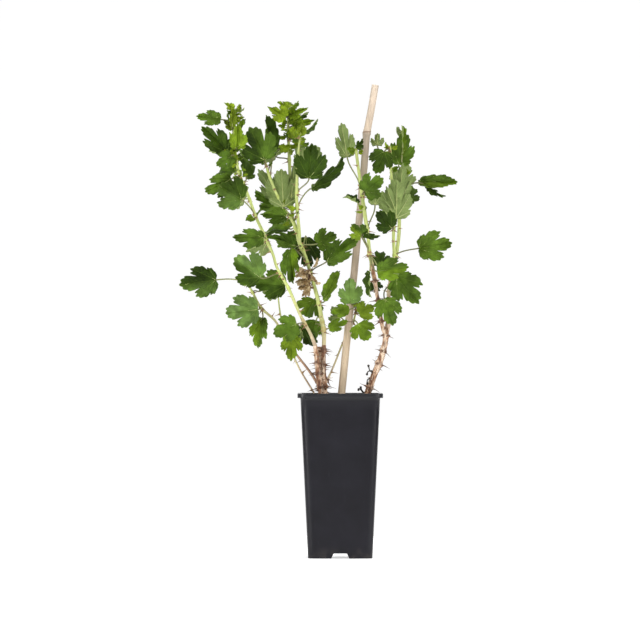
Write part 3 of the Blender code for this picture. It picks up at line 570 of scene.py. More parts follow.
def addSheet(name, low, high, half, steps, lift, paper):
    # A sheet of paper from one run to another, lifted by a rule of the place.
    sheet = bmesh.new()
    bmesh.ops.create_grid(sheet, x_segments=steps, y_segments=steps, size=1.0)
    for vert in sheet.verts:
        across = vert.co.x * half
        run = low + (high - low) * (vert.co.y + 1) / 2
        vert.co = Vector((across, run, lift(across, run)))
    mesh = meshFrom(sheet, name)
    mesh.shade_smooth()
    mesh.materials.append(paper)
    piece = addObject(name, mesh)
    return piece


def surroundLift(across, run):
    outside = max(0.0, math.hypot(across, run) - studio["surroundFlat"])
    return outside ** 2 * studio["surroundCurve"] - studio["surroundSunk"]


def addFloor():
    back, half, far = studio["floorBack"], studio["floorHalf"], studio["surroundHalf"]
    paper = paperMaterial("pale paper", 0.93, studio["floorGlow"], studio["backGlow"])
    addSheet("floor", studio["floorFront"], back, half, 2, lambda across, run: 0.0, paper)
    # the card behind only sends light; the wide surround is only seen, and closes the view on every side
    card = addSheet("card", back, studio["cardBack"], half, 16,
                    lambda across, run: (run - back) ** 2 * studio["cardCurve"], paper)
    card.visible_camera = False
    paper = paperMaterial("far paper", 0.0, 1.0, 1.0)
    surround = addSheet("surround", -far, far, far, 40, surroundLift, paper)
    for ray in ("diffuse", "glossy", "transmission", "shadow"):
        setattr(surround, "visible_" + ray, False)


def addLight():
    world = bpy.data.worlds.new("studio")
    world.use_nodes = True
    background = world.node_tree.nodes["Background"]
    setInputs(background, {"Color": (1.0, 1.0, 1.0, 1.0), "Strength": studio["worldStrength"]})
    bpy.context.scene.world = world
    for name, place, width, height, power, aim in softboxes:
        lamp = bpy.data.lights.new(name, "AREA")
        lamp.shape = "RECTANGLE"
        lamp.size = width
        lamp.size_y = height
        lamp.energy = power
        box = addObject(name, lamp)
        box.location = place
        box.rotation_euler = (Vector(aim) - Vector(place)).to_track_quat("-Z", "Y").to_euler()
    bpy.context.scene.view_settings.view_transform = "Standard"
    bpy.context.scene.view_settings.look = "None"


addCamera()
addFloor()
addLight()
print("camera, floor and light placed")


# Leaf and bark materials

veinForm = {
    "lobeEdges": ((0.32, 36), (0.89, 30)),   # past each edge in radians the next vein is so many degrees on
    "width": (0.020, 0.006),                 # at the base and the tip, in leaf lengths
    "sideSlant": 1.15,
    "sideCount": 8.5,                        # side veins in a leaf length
    "sideHalf": (0.015, 0.075),
    "netScale": 34.0,
    "netHalf": 0.09,
}
# Dark, middle and bright are the leaf's green in painted shade and painted light; silvery is a painted sheen
# and edge a painted highlight.
leafColours = {
    "dark": (0.021, 0.045, 0.0022),
    "middle": (0.072, 0.134, 0.009),
    "bright": (0.122, 0.212, 0.012),
    "young": (0.265, 0.365, 0.020),
    "silvery": (0.165, 0.270, 0.075),
    "edge": (0.20, 0.30, 0.05),
    "under": (0.215, 0.290, 0.090),
    "underYoung": (0.230, 0.320, 0.045),
    "vein": (0.200, 0.310, 0.045),
    "underVein": (0.360, 0.430, 0.180),
}


def newGroup(name, inputs, outputs):
    # The group, what comes into it and its output node. Every output is a number.
    group = bpy.data.node_groups.new(name, "ShaderNodeTree")
    for label, kind in inputs.items():
        group.interface.new_socket(label, in_out="INPUT", socket_type="NodeSocket" + kind)
    for label in outputs:
        group.interface.new_socket(label, in_out="OUTPUT", socket_type="NodeSocketFloat")
    return group, group.nodes.new("NodeGroupInput").outputs, group.nodes.new("NodeGroupOutput")


def makeVeinGroup():
    # Palmate veins: five main ones fan out from the base, side veins leave them at a slant.
    group, start, end = newGroup("leafVeins", {"Map": "Vector"}, ["Main", "Side", "Net"])
    along, across = addNode("SeparateXYZ", {0: start["Map"]}).outputs[:2]
    turn = calc("ABSOLUTE", calc("ARCTAN2", across, along))
    reach = calc("SQRT", calc("ADD", calc("POWER", along, 2.0), calc("POWER", calc("ABSOLUTE", across), 2.0)))
    fromVein = turn
    for edge, gap in veinForm["lobeEdges"]:
        passed = calc("MULTIPLY", calc("GREATER_THAN", turn, edge), math.radians(gap))
        fromVein = calc("SUBTRACT", fromVein, passed)
    aside = calc("MULTIPLY", reach, calc("SINE", fromVein))
    onward = calc("MULTIPLY", reach, calc("COSINE", fromVein))
    apart = calc("ABSOLUTE", aside)
    width = rangeOf(onward, 0.0, 1.0, *veinForm["width"], False)
    main = rangeOf(apart, calc("MULTIPLY", width, 0.3), width, 1.0, 0.0)
    stagger = calc("MULTIPLY", calc("GREATER_THAN", aside, 0.0), 0.5)
    slanted = calc("MULTIPLY_ADD", apart, -veinForm["sideSlant"], onward)
    count = calc("MULTIPLY_ADD", slanted, veinForm["sideCount"], stagger)
    offLine = calc("ABSOLUTE", calc("SUBTRACT", calc("FRACT", count), 0.5))
    side = rangeOf(offLine, *veinForm["sideHalf"], 1.0, 0.0)
    cells = cellsOf(start["Map"], veinForm["netScale"], "DISTANCE_TO_EDGE")
    setInputs(end, {"Main": main, "Side": side, "Net": rangeOf(cells, 0.0, veinForm["netHalf"], 1.0, 0.0)})
    return group


def makeFibreGroup():
    # Fine and broad lengthwise fibres, for cane and bark.
    inputs = {"Place": "Vector", "Scale": "Float"}
    group, start, end = newGroup("lengthwiseFibres", inputs, ["Fine", "Broad"])
    place = stretched(start["Place"], 1, 1, 0.05)
    fine = noiseOf(place, start["Scale"], 4.0, 0.5)
    setInputs(end, {"Fine": fine, "Broad": noiseOf(place, calc("MULTIPLY", start["Scale"], 0.3), 2.0, 0.5)})
    return group


def veinsOf(material):
    surface = addNode("UVMap", {}, material.node_tree, uv_map="surfaceMap").outputs[0]
    return addNode("Group", {"Map": surface}, node_tree=veinGroup).outputs


def veinSum(veins, main, side, net=0.0, clamp=False):
    return weighted((veins["Side"], side), (veins["Main"], main), (veins["Net"], net), clamp=clamp)


def fibresOf(place, scale):
    return addNode("Group", {"Place": place, "Scale": scale}, node_tree=fibreGroup).outputs


def leafUpper():
    # Red runs from dark to bright as painted shade and painted light, green is how young, blue how much
    # painted sheen, and alpha is one at the edge.
    material, place = newMaterial("leaf upper face")
    red, green, blue, alpha = readLook(material)
    # the leaf's green in painted shade, in between, and in painted light, as the red runs
    colour = rampOf(red, (0.0, leafColours["dark"]), (0.5, leafColours["middle"]),
                    (1.0, leafColours["bright"]))
    # a painted sheen: grey-green laid over the blade in soft patches where blue is painted
    paintedSheen = calc("MULTIPLY", blue, rangeOf(noiseOf(place, 45.0), 0.35, 0.65, 0.55, 1.0))
    colour = layered(colour, (green, leafColours["young"]), (paintedSheen, leafColours["silvery"]))
    mottle = rangeOf(noiseOf(place, 130.0, 5.0), 0.3, 0.7, 0.70, 1.26, False)
    patches = rangeOf(noiseOf(place, 38.0, 2.0), 0.32, 0.68, 0.66, 1.30)
    colour = shadedBy(colour, calc("MULTIPLY", mottle, patches))
    veins = veinsOf(material)
    veined = blendOf(0.55, colour, leafColours["vein"])
    # paler veins, then a painted highlight: a lighter yellow-green along the blade's edge
    colour = layered(colour, (veinSum(veins, 0.36, 0.16, 0.08, True), veined),
                     (rangeOf(alpha, 0.93, 1.0, 0.0, 0.25), leafColours["edge"]))
    gloss = rangeOf(noiseOf(place, 300.0, 4.0), 0.3, 0.7, 0.38, 0.56, False)
    relief = weighted((veinSum(veins, -1.0, -0.7, -0.35), 1.0), (noiseOf(place, 700.0, 2.0), 0.4))
    return finishMaterial(material, colour, gloss, relief, 0.55, 0.00035, 0.09)


def leafUnder():
    material, place = newMaterial("leaf underside")
    green = readLook(material)[1]
    colour = blendOf(green, leafColours["under"], leafColours["underYoung"])
    colour = shadedBy(colour, rangeOf(noiseOf(place, 110.0, 5.0), 0.3, 0.7, 0.80, 1.15, False))
    veins = veinsOf(material)
    colour = blendOf(veinSum(veins, 0.8, 0.45, 0.2, True), colour, leafColours["underVein"])
    return finishMaterial(material, colour, 0.68, veinSum(veins, 1.0, 0.8, 0.4), 0.6, 0.0004, 0.08)


def greenStem():
    # Red is the wood's age, green marks a node and blue a leaf's stalk.
    material, place = newMaterial("young stem")
    red, green, blue = readLook(material)[:3]
    fibres = fibresOf(place, 900.0)
    age = weighted((red, 1.0), (calc("SUBTRACT", noiseOf(place, 70.0), 0.5), 0.5))
    colour = rampOf(age, (0.0, (0.55, 0.63, 0.20)), (0.35, (0.61, 0.58, 0.26)), (0.70, (0.57, 0.45, 0.30)),
                    (1.0, (0.38, 0.22, 0.13)))
    colour = shadedBy(colour, rangeOf(fibres["Fine"], 0.35, 0.7, 0.80, 1.12, False))
    joint = rampOf(red, (0.0, (0.44, 0.52, 0.07)), (0.5, (0.42, 0.19, 0.045)))
    pores = rangeOf(cellsOf(place, 420.0), 0.10, 0.22, 0.35, 0.0)
    colour = layered(colour, (calc("MULTIPLY", green, 0.7), joint), (blue, (0.105, 0.105, 0.035)),
                     (pores, (0.62, 0.55, 0.36)))
    return finishMaterial(material, colour, 0.5, fibres["Fine"], 0.35, 0.0003)


def barkWood():
    # Red bands the old bark darker, green is pale peeling skin, blue is a fresh cut.
    material, place = newMaterial("peeling bark")
    red, green, blue = readLook(material)[:3]
    fibres = fibresOf(place, 620.0)
    blotch = noiseOf(stretched(place, 1, 1, 0.6), 185.0, 4.0, 0.6)
    colour = rampOf(weighted((fibres["Broad"], 0.28), (blotch, 0.72)), (0.37, (0.13, 0.050, 0.024)),
                    (0.46, (0.34, 0.165, 0.080)), (0.54, (0.60, 0.39, 0.25)), (0.66, (0.84, 0.68, 0.53)))
    cracks = rangeOf(fibres["Fine"], 0.33, 0.43, 0.7, 0.0)
    colour = layered(colour, (calc("MULTIPLY", green, 0.75), (0.86, 0.71, 0.54)),
                     (cracks, (0.055, 0.022, 0.014)), (calc("MULTIPLY", red, 0.8), (0.075, 0.030, 0.018)),
                     (blue, (0.52, 0.38, 0.22)))
    relief = weighted((fibres["Broad"], 1.0), (fibres["Fine"], 0.6))
    return finishMaterial(material, colour, 0.78, relief, 0.8, 0.0011)


def spineHorn():
    # Red runs from the root to the tip, green is a young pale spine.
    material, place = newMaterial("spine")
    red, green = readLook(material)[:2]
    colour = rampOf(red, (0.0, (0.22, 0.11, 0.06)), (0.45, (0.11, 0.050, 0.028)),
                    (1.0, (0.045, 0.020, 0.014)))
    grain = noiseOf(stretched(place, 1, 1, 0.3), 1400.0, 2.0)
    colour = layered(colour, (green, (0.46, 0.30, 0.13)),
                     (rangeOf(grain, 0.4, 0.65, 0.0, 0.3), (0.20, 0.10, 0.05)))
    return setShader(material, {"Base Color": colour, "Roughness": 0.42})


def budScale():
    return cloudyMaterial("bud scales", 0.6, (500.0, 3.0), (1500.0, 2.0), 0.4, 0.0003,
                          (0.3, (0.16, 0.07, 0.035)), (0.55, (0.40, 0.22, 0.09)), (0.75, (0.56, 0.48, 0.22)))


def deadLeaf():
    material, place = newMaterial("dead leaf")
    colour = rampOf(noiseOf(place, 220.0, 5.0), (0.30, (0.11, 0.055, 0.022)), (0.46, (0.36, 0.24, 0.10)),
                    (0.68, (0.66, 0.53, 0.33)))
    colour = blendOf(veinSum(veinsOf(material), 0.6, 0.3), colour, (0.55, 0.41, 0.25))
    return finishMaterial(material, colour, 0.85, noiseOf(place, 900.0, 4.0), 0.7, 0.0006)


def deadTwigBark():
    return cloudyMaterial("dead twig", 0.8, (400.0, 3.0), (1200.0, 3.0), 0.6, 0.0004,
                          (0.3, (0.09, 0.045, 0.025)), (0.7, (0.34, 0.21, 0.12)))


def blackTwig():
    return cloudyMaterial("black dead twigs", 0.8, (700.0, 3.0), (1500.0, 3.0), 0.6, 0.0004,
                          (0.3, (0.010, 0.009, 0.008)), (0.7, (0.05, 0.04, 0.03)))


veinGroup = makeVeinGroup()
fibreGroup = makeFibreGroup()
leafySlots = [leafUpper(), leafUnder(), greenStem(), spineHorn(), budScale()]
upperSlot, underSlot, stemSlot, spineSlot, budSlot = range(5)
crownSlots = [barkWood(), leafySlots[spineSlot], blackTwig()]
spurSlots = [deadLeaf(), deadTwigBark()]
print("leaf and bark materials made")


# Leaves

blade = {
    "steps": 3,                # faces between two points of the outline
    "youngSteps": 4,
    "tinySteps": 2,
    "rings": 8,                # faces from the base to the edge
    "youngRings": 6,
    "tinyRings": 3,
    "ringSpread": 1.35,        # over one, so that the rings lie closer towards the edge
    "thickness": 0.36 * mm,
    "veinDepth": 0.0065,       # this and the next are in leaf lengths
    "veinWidth": 0.020,
    "pucker": 0.006,
    "puckers": (21, 19),       # how closely along and across, as in waves
    "wave": 0.035,
    "waves": (9.0, 8.0),
    "fold": 0.27,
    "droop": (0.16, 0.22),     # along and across
    "lobeFold": 0.19,
    "ruffle": 0.028,
    "lobeChange": 0.05,
    "youngFold": 2.1,          # times deeper than a full leaf's
    "mainVeins": (0.0, 36.0, 66.0),
    "ribReach": (0.86, 0.64, 0.36),
    "ribSteps": 6,
    "stalkRadius": 1.05 * mm,
    "stalkSteps": 10,
}
# Each one's tone from dark to bright, which is painted shade and painted light, how young it is and how much
# painted sheen it has
paintedLightAndYouth = {
    "dark": (0.05, 0.0, 0.0), "middle": (0.5, 0.0, 0.08), "bright": (0.95, 0.08, 0.0),
    "fresh": (0.95, 0.42, 0.0), "dusty": (0.4, 0.0, 0.30), "silvery": (0.6, 0.0, 0.80),
    "young": (0.9, 0.85, 0.0),
}

# Half of each outline, from the tip round to the base: degrees from the midrib, reach in leaf lengths
fullHalf = [
    (0, 1.00), (5, 0.94), (9.5, 0.97), (13.5, 0.885), (17, 0.89), (21, 0.575), (26, 0.79), (30.5, 0.75),
    (35, 0.85), (40, 0.785), (44.5, 0.80), (49, 0.71), (53, 0.70), (58.5, 0.475), (63.5, 0.54),
    (68, 0.48), (73, 0.48), (78, 0.37), (84, 0.31), (91, 0.19), (101, 0.06),
]
youngHalf = [
    (0, 1.0), (6, 0.90), (11, 0.93), (20, 0.60), (27, 0.77), (32, 0.71), (38, 0.81), (44, 0.71), (50, 0.71),
    (59, 0.48), (67, 0.51), (74, 0.42), (81, 0.38), (90, 0.23), (102, 0.07),
]
longHalf = [
    (0, 1.0), (4, 0.95), (7.5, 0.97), (11, 0.90), (14.5, 0.91), (18.5, 0.82), (22, 0.83), (26, 0.73),
    (30, 0.74), (35, 0.61), (40, 0.61), (47, 0.45), (55, 0.40), (66, 0.25), (78, 0.14), (95, 0.05),
]
tinyHalf = [(0, 1.0), (10, 0.87), (17, 0.90), (27, 0.57), (38, 0.72), (50, 0.54), (62, 0.50), (98, 0.13)]
# Young leaves with the full outline, full leaves with the long one, and how narrow an extra leaf is with it
roundLeaves = {("inner", 567), ("inner", 575), ("inner", 570), ("outer", 539)}
longLeaves = {("far", 477), ("middle", 451), ("main", 327), ("main", 497)}
longBelow = 0.3


def outlineAt(half, spot):
    # The angle and reach at a spot counted in points of the outline. Teeth and notches take turns in it.
    index = min(int(spot), len(half) - 2)
    share = spot - index
    start, end = half[index], half[index + 1]
    quarter = share * math.pi / 2   # notches stay sharp and teeth come out round
    eased = math.sin(quarter) if end[1] > start[1] else 1 - math.cos(quarter)
    return start[0] + (end[0] - start[0]) * share, start[1] + (end[1] - start[1]) * eased


def flatLeaf(half, rings, steps):
    # The blade laid flat and one unit long, with its two faces a thickness apart.
    shape = newShape()
    look = lookOf(shape)
    surface = shape.loops.layers.uv["surfaceMap"]
    last = len(half) - 1
    bmesh.ops.create_grid(shape, x_segments=2 * last * steps, y_segments=rings, size=0.5)
    for vert in shape.verts:
        turn, reach = outlineAt(half, abs(vert.co.x) * 2 * last)
        share = vert.co.y + 0.5
        reach *= 1 - (1 - share) ** blade["ringSpread"]
        vert[look] = (0, 0, 0, share)
        angle = math.copysign(math.radians(turn), vert.co.x)
        vert.co = Vector((reach * math.cos(angle), reach * math.sin(angle), 0.0))
    bmesh.ops.remove_doubles(shape, verts=shape.verts, dist=1e-5)
    bmesh.ops.recalc_face_normals(shape, faces=shape.faces)
    bmesh.ops.solidify(shape, geom=shape.faces[:], thickness=blade["thickness"])
    middle = sum(vert.co.z for vert in shape.verts) / len(shape.verts)
    for vert in shape.verts:
        vert.co.z -= middle
    bmesh.ops.recalc_face_normals(shape, faces=shape.faces)
    for face in shape.faces:
        face.material_index = underSlot if face.normal.z < -0.5 else upperSlot
        face.smooth = True
        for loop in face.loops:
            loop[surface].uv = loop.vert.co.xy
    return meshFrom(shape, "flat leaf")


def bladeHeight(u, v, share, phase):
    # Nearly the same bent form as in the solids, with sunken veins and puckered skin between them.
    wave = math.sin(blade["waves"][0] * u + phase) * math.sin(blade["waves"][1] * abs(v) + 0.6 * phase)
    pucker = math.sin(blade["puckers"][0] * u + 3 * phase) * math.sin(blade["puckers"][1] * v + phase)
    turn = math.degrees(math.atan2(v, u))
    vein = min(blade["mainVeins"], key=lambda angle: abs(angle - abs(turn)))
    fromVein = math.radians(abs(turn) - vein)
    reach = math.hypot(u, v)
    aside = reach * math.sin(fromVein)
    onward = reach * math.cos(fromVein)
    width = blade["veinWidth"] * (1.2 - 0.6 * onward)
    height = blade["fold"] * abs(v) - blade["droop"][0] * u * u - blade["droop"][1] * v * v
    height += blade["wave"] * wave
    height -= blade["veinDepth"] * math.exp(-(aside / width) ** 2)
    height += blade["lobeFold"] * abs(aside) * min(1.0, 2 * onward)
    height += blade["pucker"] * pucker
    height += blade["ruffle"] * share ** 3 * math.sin(0.30 * turn + 2.1 * phase)
    return height


def leafFrame(row):
    # Where the blade lies: its base, its length, and the ways along, across and out of it.
    base = Vector(row[2]) * mm
    tip = Vector(row[3]) * mm
    forward = (tip - base).normalized()
    towardsViewer = Vector((0.0, -1.0, 0.0))
    face = (towardsViewer - forward * towardsViewer.dot(forward)).normalized()
    face = Quaternion(forward, math.radians(row[4])) @ face
    return base, (tip - base).length, forward, face.cross(forward), face


def leafLook(lightAndYouth, chance):
    # The looks of the blade's two halves, with painted shade and light in the tone and a painted sheen.
    looks = []
    for word in lightAndYouth.split("/"):
        shadeTone, youth, paintedSheen = paintedLightAndYouth[word]
        looks.append(Vector((withinOne(shadeTone + chance), youth, paintedSheen)))
    return looks[0], looks[-1]


def addRib(body, placeAt, face, angle, reach, thick):
    # A vein that stands out under the blade.
    rib = []
    radii = []
    for step in range(blade["ribSteps"] + 1):
        share = step / blade["ribSteps"]
        out = 0.02 + reach * share
        place = placeAt(out * math.cos(angle), out * math.sin(angle))
        rib.append(place - face * (blade["thickness"] * 0.5))
        radii.append((0.42 - 0.30 * share) * mm * thick)
    shape = sweptTube(rib, radii, 5)
    paint(shape, (0.12, 0.0, 0.0, 0.5), stemSlot)
    addTo(body, shape)


def addStalk(body, base, joint, forward, slot, draw, thickness=1.0):
    # One even curve that leaves the blade along its midrib and bends down to the stem.
    reach = (base - joint).length
    first = base - forward * reach * 0.35
    second = joint + (base - joint) * 0.3 + Vector((0.0, 0.0, 0.12 * reach))
    route = []
    radii = []
    for step in range(blade["stalkSteps"] + 1):
        share = step / blade["stalkSteps"]
        rest = 1 - share
        place = base * rest ** 3 + first * 3 * rest ** 2 * share + second * 3 * rest * share ** 2
        route.append(place + joint * share ** 3)
        thick = 0.85 + 0.9 * max(0.0, share - 0.8) / 0.2 + 0.2 * max(0.0, 0.12 - share) / 0.12
        radii.append(blade["stalkRadius"] * thickness * thick)
    shape = sweptTube(route, radii, 7)
    paint(shape, (0.1, 0.0, draw.uniform(0.55, 1.0), 0.5), slot)
    addTo(body, shape)


def addLeaf(body, row, flat, phase, seed, fold=1.0, ribbed=True):
    base, length, forward, side, face = leafFrame(row)
    draw = random.Random(seed)
    shift = anyAngle(draw)
    firstLook, otherLook = leafLook(row[6], draw.uniform(-0.12, 0.12))
    shape = bmesh.new()
    shape.from_mesh(flat)
    look = lookOf(shape)

    def placeAt(u, v, share=0.5):
        height = fold * bladeHeight(u, v, share, phase)
        return base + length * (forward * u + side * v * row[5] + face * height)

    for vert in shape.verts:
        share = vert[look][3]
        turn = math.atan2(vert.co.y, vert.co.x)
        grown = 1 + blade["lobeChange"] * math.sin(3.3 * turn + shift) * share
        place = placeAt(vert.co.x * grown, vert.co.y * grown, share)
        # each half of the blade takes its own painted shade and light, split along the midrib by a wavy line
        half = withinOne(0.5 + vert.co.y * 7 + 0.25 * math.sin(9 * vert.co.x + shift))
        vert.co = place + face * vert.co.z
        vert[look] = (*firstLook.lerp(otherLook, half), share)
    addTo(body, shape)
    for vein, reach in zip(blade["mainVeins"], blade["ribReach"] if ribbed else ()):
        for hand in ((1,) if vein == 0 else (1, -1)):
            addRib(body, placeAt, face, math.radians(vein) * hand, reach, 0.75 if vein else 1.0)
    joint, radius, way = stemAt(row[0], row[1] * mm)
    addStalk(body, base, joint, forward, stemSlot, draw, 1.0 if ribbed else 0.5)
    return joint, (base - joint).normalized(), way, radius


# Stems

stemFinish = {
    "shootSides": 12,
    "stride": 2.2 * mm,
    "ridge": 0.035,            # this and the next in radii
    "nodeSwell": 0.30,
    "nodeHalf": 2.2 * mm,
    "nodeMark": 1.3 * mm,
    "nodeGap": 4 * mm,         # stalks nearer to each other share a node
    "spineGap": 22 * mm,
    "spineTurn": 137.5,        # degrees round the stem from one spine to the next
    "spineLengths": (6.5 * mm, 10.5 * mm),
    "spineRadius": 0.72 * mm,
    "bareBelow": 204 * mm,
    # heights in millimetres between which a stem turns from brown to green
    "browning": {
        "outer": (250, 345), "main": (225, 335), "low": (250, 352), "thin": (190, 330), "mid": (195, 330),
        "front": (352, 400), "back": (325, 385), "far": (340, 384), "inner": (380, 420),
        "middle": (380, 412),
    },
}
# Where a stem carries tiny new leaves: the stem, from and to what height, and how many
tufts = [
    ("outer", 570, 578, 12), ("outer", 554, 569, 15), ("outer", 505, 529, 24), ("outer", 488, 499, 8),
    ("outer", 436, 442, 3), ("inner", 566, 581, 22), ("inner", 540, 565, 22), ("inner", 520, 531, 6),
    ("inner", 452, 462, 3), ("middle", 528, 542, 9), ("middle", 438, 450, 3), ("main", 430, 437, 4),
    ("main", 452, 460, 3), ("main", 505, 514, 4), ("low", 350, 355, 3), ("mid", 322, 328, 3),
    ("front", 518, 528, 4), ("front", 444, 450, 3), ("back", 522, 531, 5), ("back", 494, 500, 2),
    ("far", 498, 509, 4),
]
tinyLeaf = {
    "lengths": (5.0, 11.5),
    "widths": (0.4, 0.9),
    "away": (0.5, 4.0),
    "fold": 1.6,
    "paintedLightAndYouth": ("young", "young", "young", "fresh", "bright", "bright", "middle"),
}


def jointHeights(name):
    kept = []
    for height in sorted(row[1] * mm for row in fullLeaves + youngLeaves if row[0] == name):
        if not kept or height - kept[-1] > stemFinish["nodeGap"]:
            kept.append(height)
    return kept


def spineShape(root, way, length, radius, young, droop):
    # A thorn that bends a little down to a needle tip.
    shape = hornShape(
        way, 5, 5, lambda step: root + way * length * step + Vector((0, 0, -droop * length * step * step)),
        lambda step, angle: radius * (1.9 * (1 - step) ** 6 + (1 - step) ** 0.8 * 0.85 + 0.04))
    look = lookOf(shape)
    for vert in shape.verts:
        vert[look] = (min(1.0, (vert.co - root).length / length), young, 0.0, 0.5)
    smoothFaces(shape, spineSlot)
    return shape


def budShape(root, way, length):
    def radiusAt(step, angle):
        thick = length * 0.34 * math.sin(math.pi * (0.12 + 0.88 * step)) ** 0.8 * (1.15 - 0.5 * step) + 2e-5
        return thick * (1 + 0.12 * math.cos(3 * angle + 4 * step))

    shape = hornShape(way, 8, 6, lambda step: root + way * length * step, radiusAt)
    paint(shape, (0, 0, 0, 0.5), budSlot)
    return shape


def addStem(body, name, draw):
    route, radii = stemRoute(name, stemFinish["stride"])
    nodes = jointHeights(name)
    brown, green = stemFinish["browning"][name]
    shift = anyAngle(draw)

    def relief(angle, ring):
        near = bells(route[ring].z, nodes, stemFinish["nodeHalf"])
        ridge = stemFinish["ridge"] * math.cos(3 * angle + shift + 30 * route[ring].z)
        return 1 + stemFinish["nodeSwell"] * min(1.0, near) + ridge

    shape = sweptTube(route, radii, stemFinish["shootSides"], relief)
    look = lookOf(shape)
    for vert in shape.verts:
        age = 1 - (vert.co.z / mm - brown) / (green - brown)
        near = bells(vert.co.z, nodes, stemFinish["nodeMark"])
        vert[look] = (withinOne(age), min(1.0, near), 0.0, 0.5)
    smoothFaces(shape, stemSlot)
    addTo(body, shape)


def addSpines(body, name, draw):
    # Spines wind up the stem between its nodes.
    route, radii = stemRoute(name, 3 * mm)
    travelled = 0.0
    wanted = stemFinish["spineGap"] * 0.5
    angle = anyAngle(draw)
    for lower, upper, radius in zip(route, route[1:], radii):
        span = (upper - lower).length
        way = (upper - lower).normalized()
        while travelled <= wanted < travelled + span:
            angle += math.radians(stemFinish["spineTurn"])
            root = lower + way * (wanted - travelled)
            if root.z > stemFinish["bareBelow"]:
                out = (asideOf(way, angle) + way * draw.uniform(-0.2, 0.3)).normalized()
                length = radius * 0.6 + draw.uniform(*stemFinish["spineLengths"])
                thick = stemFinish["spineRadius"] * draw.uniform(0.75, 1.1)
                start = root + out * radius * 0.6
                addTo(body, spineShape(start, out, length, thick, 0.6, draw.uniform(0, 0.15)))
            wanted += stemFinish["spineGap"] * draw.uniform(0.7, 1.3)
        travelled += span


def addTinyLeaf(body, stem, height, draw):
    joint, radius, way = stemAt(stem, height * mm)
    aside = asideOf(way, anyAngle(draw))
    out = (aside + way * draw.uniform(-0.2, 1.1)).normalized()
    base = joint + aside * radius + out * draw.uniform(*tinyLeaf["away"]) * mm
    tip = base + out * draw.uniform(*tinyLeaf["lengths"]) * mm
    lightAndYouth = draw.choice(tinyLeaf["paintedLightAndYouth"])
    turn = draw.uniform(-80, 80)
    row = (stem, height, base / mm, tip / mm, turn, draw.uniform(*tinyLeaf["widths"]), lightAndYouth)
    addLeaf(body, row, flatTiny, anyAngle(draw), draw.randrange(1000), tinyLeaf["fold"], False)


def addBud(body, joint, outward, way, radius, draw):
    # A bud above the leaf's stalk, with a strong spine on either side.
    aside = (outward - way * outward.dot(way)).normalized()
    lean = (aside + way * 1.1).normalized()
    root = joint + aside * radius * 0.9 + way * 1.2 * mm
    addTo(body, budShape(root, lean, draw.uniform(2.6, 4.0) * mm))
    for turn in (-1, 1):
        out = (Quaternion(way, turn * draw.uniform(0.5, 0.9)) @ aside - way * 0.25).normalized()
        start = joint - way * 1.5 * mm + out * radius * 0.7
        length = draw.uniform(*stemFinish["spineLengths"])
        addTo(body, spineShape(start, out, length, stemFinish["spineRadius"], 0.35, 0.1))


def growShoot(pieceName, node, stems):
    draw = random.Random(node)
    body = newShape()
    for stem in stems:
        addStem(body, stem, draw)
        addSpines(body, stem, draw)

    def carried(rows):
        return [(index, row) for index, row in enumerate(rows) if row[0] in stems]

    joints = []
    for index, row in carried(fullLeaves):
        flat = flatLong if row[:2] in longLeaves else flatFull
        joints.append(addLeaf(body, row, flat, 1.7 * index, index + 1))
    for index, row in carried(youngLeaves):
        flat = flatFull if row[:2] in roundLeaves else flatYoung
        addLeaf(body, row, flat, 2.3 * index, index + 200, blade["youngFold"])
    for index, row in carried(extraLeaves):
        addLeaf(body, row, flatLong if row[5] < longBelow else flatYoung, 1.9 * index, index + 300)
    for index, (stem, low, high, count) in carried(tufts):
        for number in range(count):
            addTinyLeaf(body, stem, draw.uniform(low, high), draw)
    for joint, outward, way, radius in joints:
        addBud(body, joint, outward, way, radius, draw)
    piece = finishPiece(pieceName, body, leafySlots, [node], 60)
    print(node, "grown,", len(piece.data.polygons), "faces")


flatFull = flatLeaf(fullHalf, blade["rings"], blade["steps"])
flatYoung = flatLeaf(youngHalf, blade["youngRings"], blade["youngSteps"])
flatLong = flatLeaf(longHalf, blade["rings"], blade["steps"])
flatTiny = flatLeaf(tinyHalf, blade["tinyRings"], blade["tinySteps"])
shoots = [
    ("outerLeftGrowth", "outer_left_shoot", ["outer"]),
    ("mainGrowth", "main_shoot", ["main", "inner", "middle"]),
    ("lowLeftGrowth", "low_left_shoot", ["low"]),
    ("thinLeftGrowth", "thin_left_shoot", ["thin"]),
    ("thinMiddleGrowth", "thin_middle_shoot", ["mid"]),
    ("frontRightGrowth", "front_right_shoot", ["front"]),
    ("backRightGrowth", "back_right_shoot", ["back", "far"]),
]
for pieceName, node, stems in shoots:
    growShoot(pieceName, node, stems)
for flat in (flatFull, flatYoung, flatLong, flatTiny):
    bpy.data.meshes.remove(flat)


# Old wood

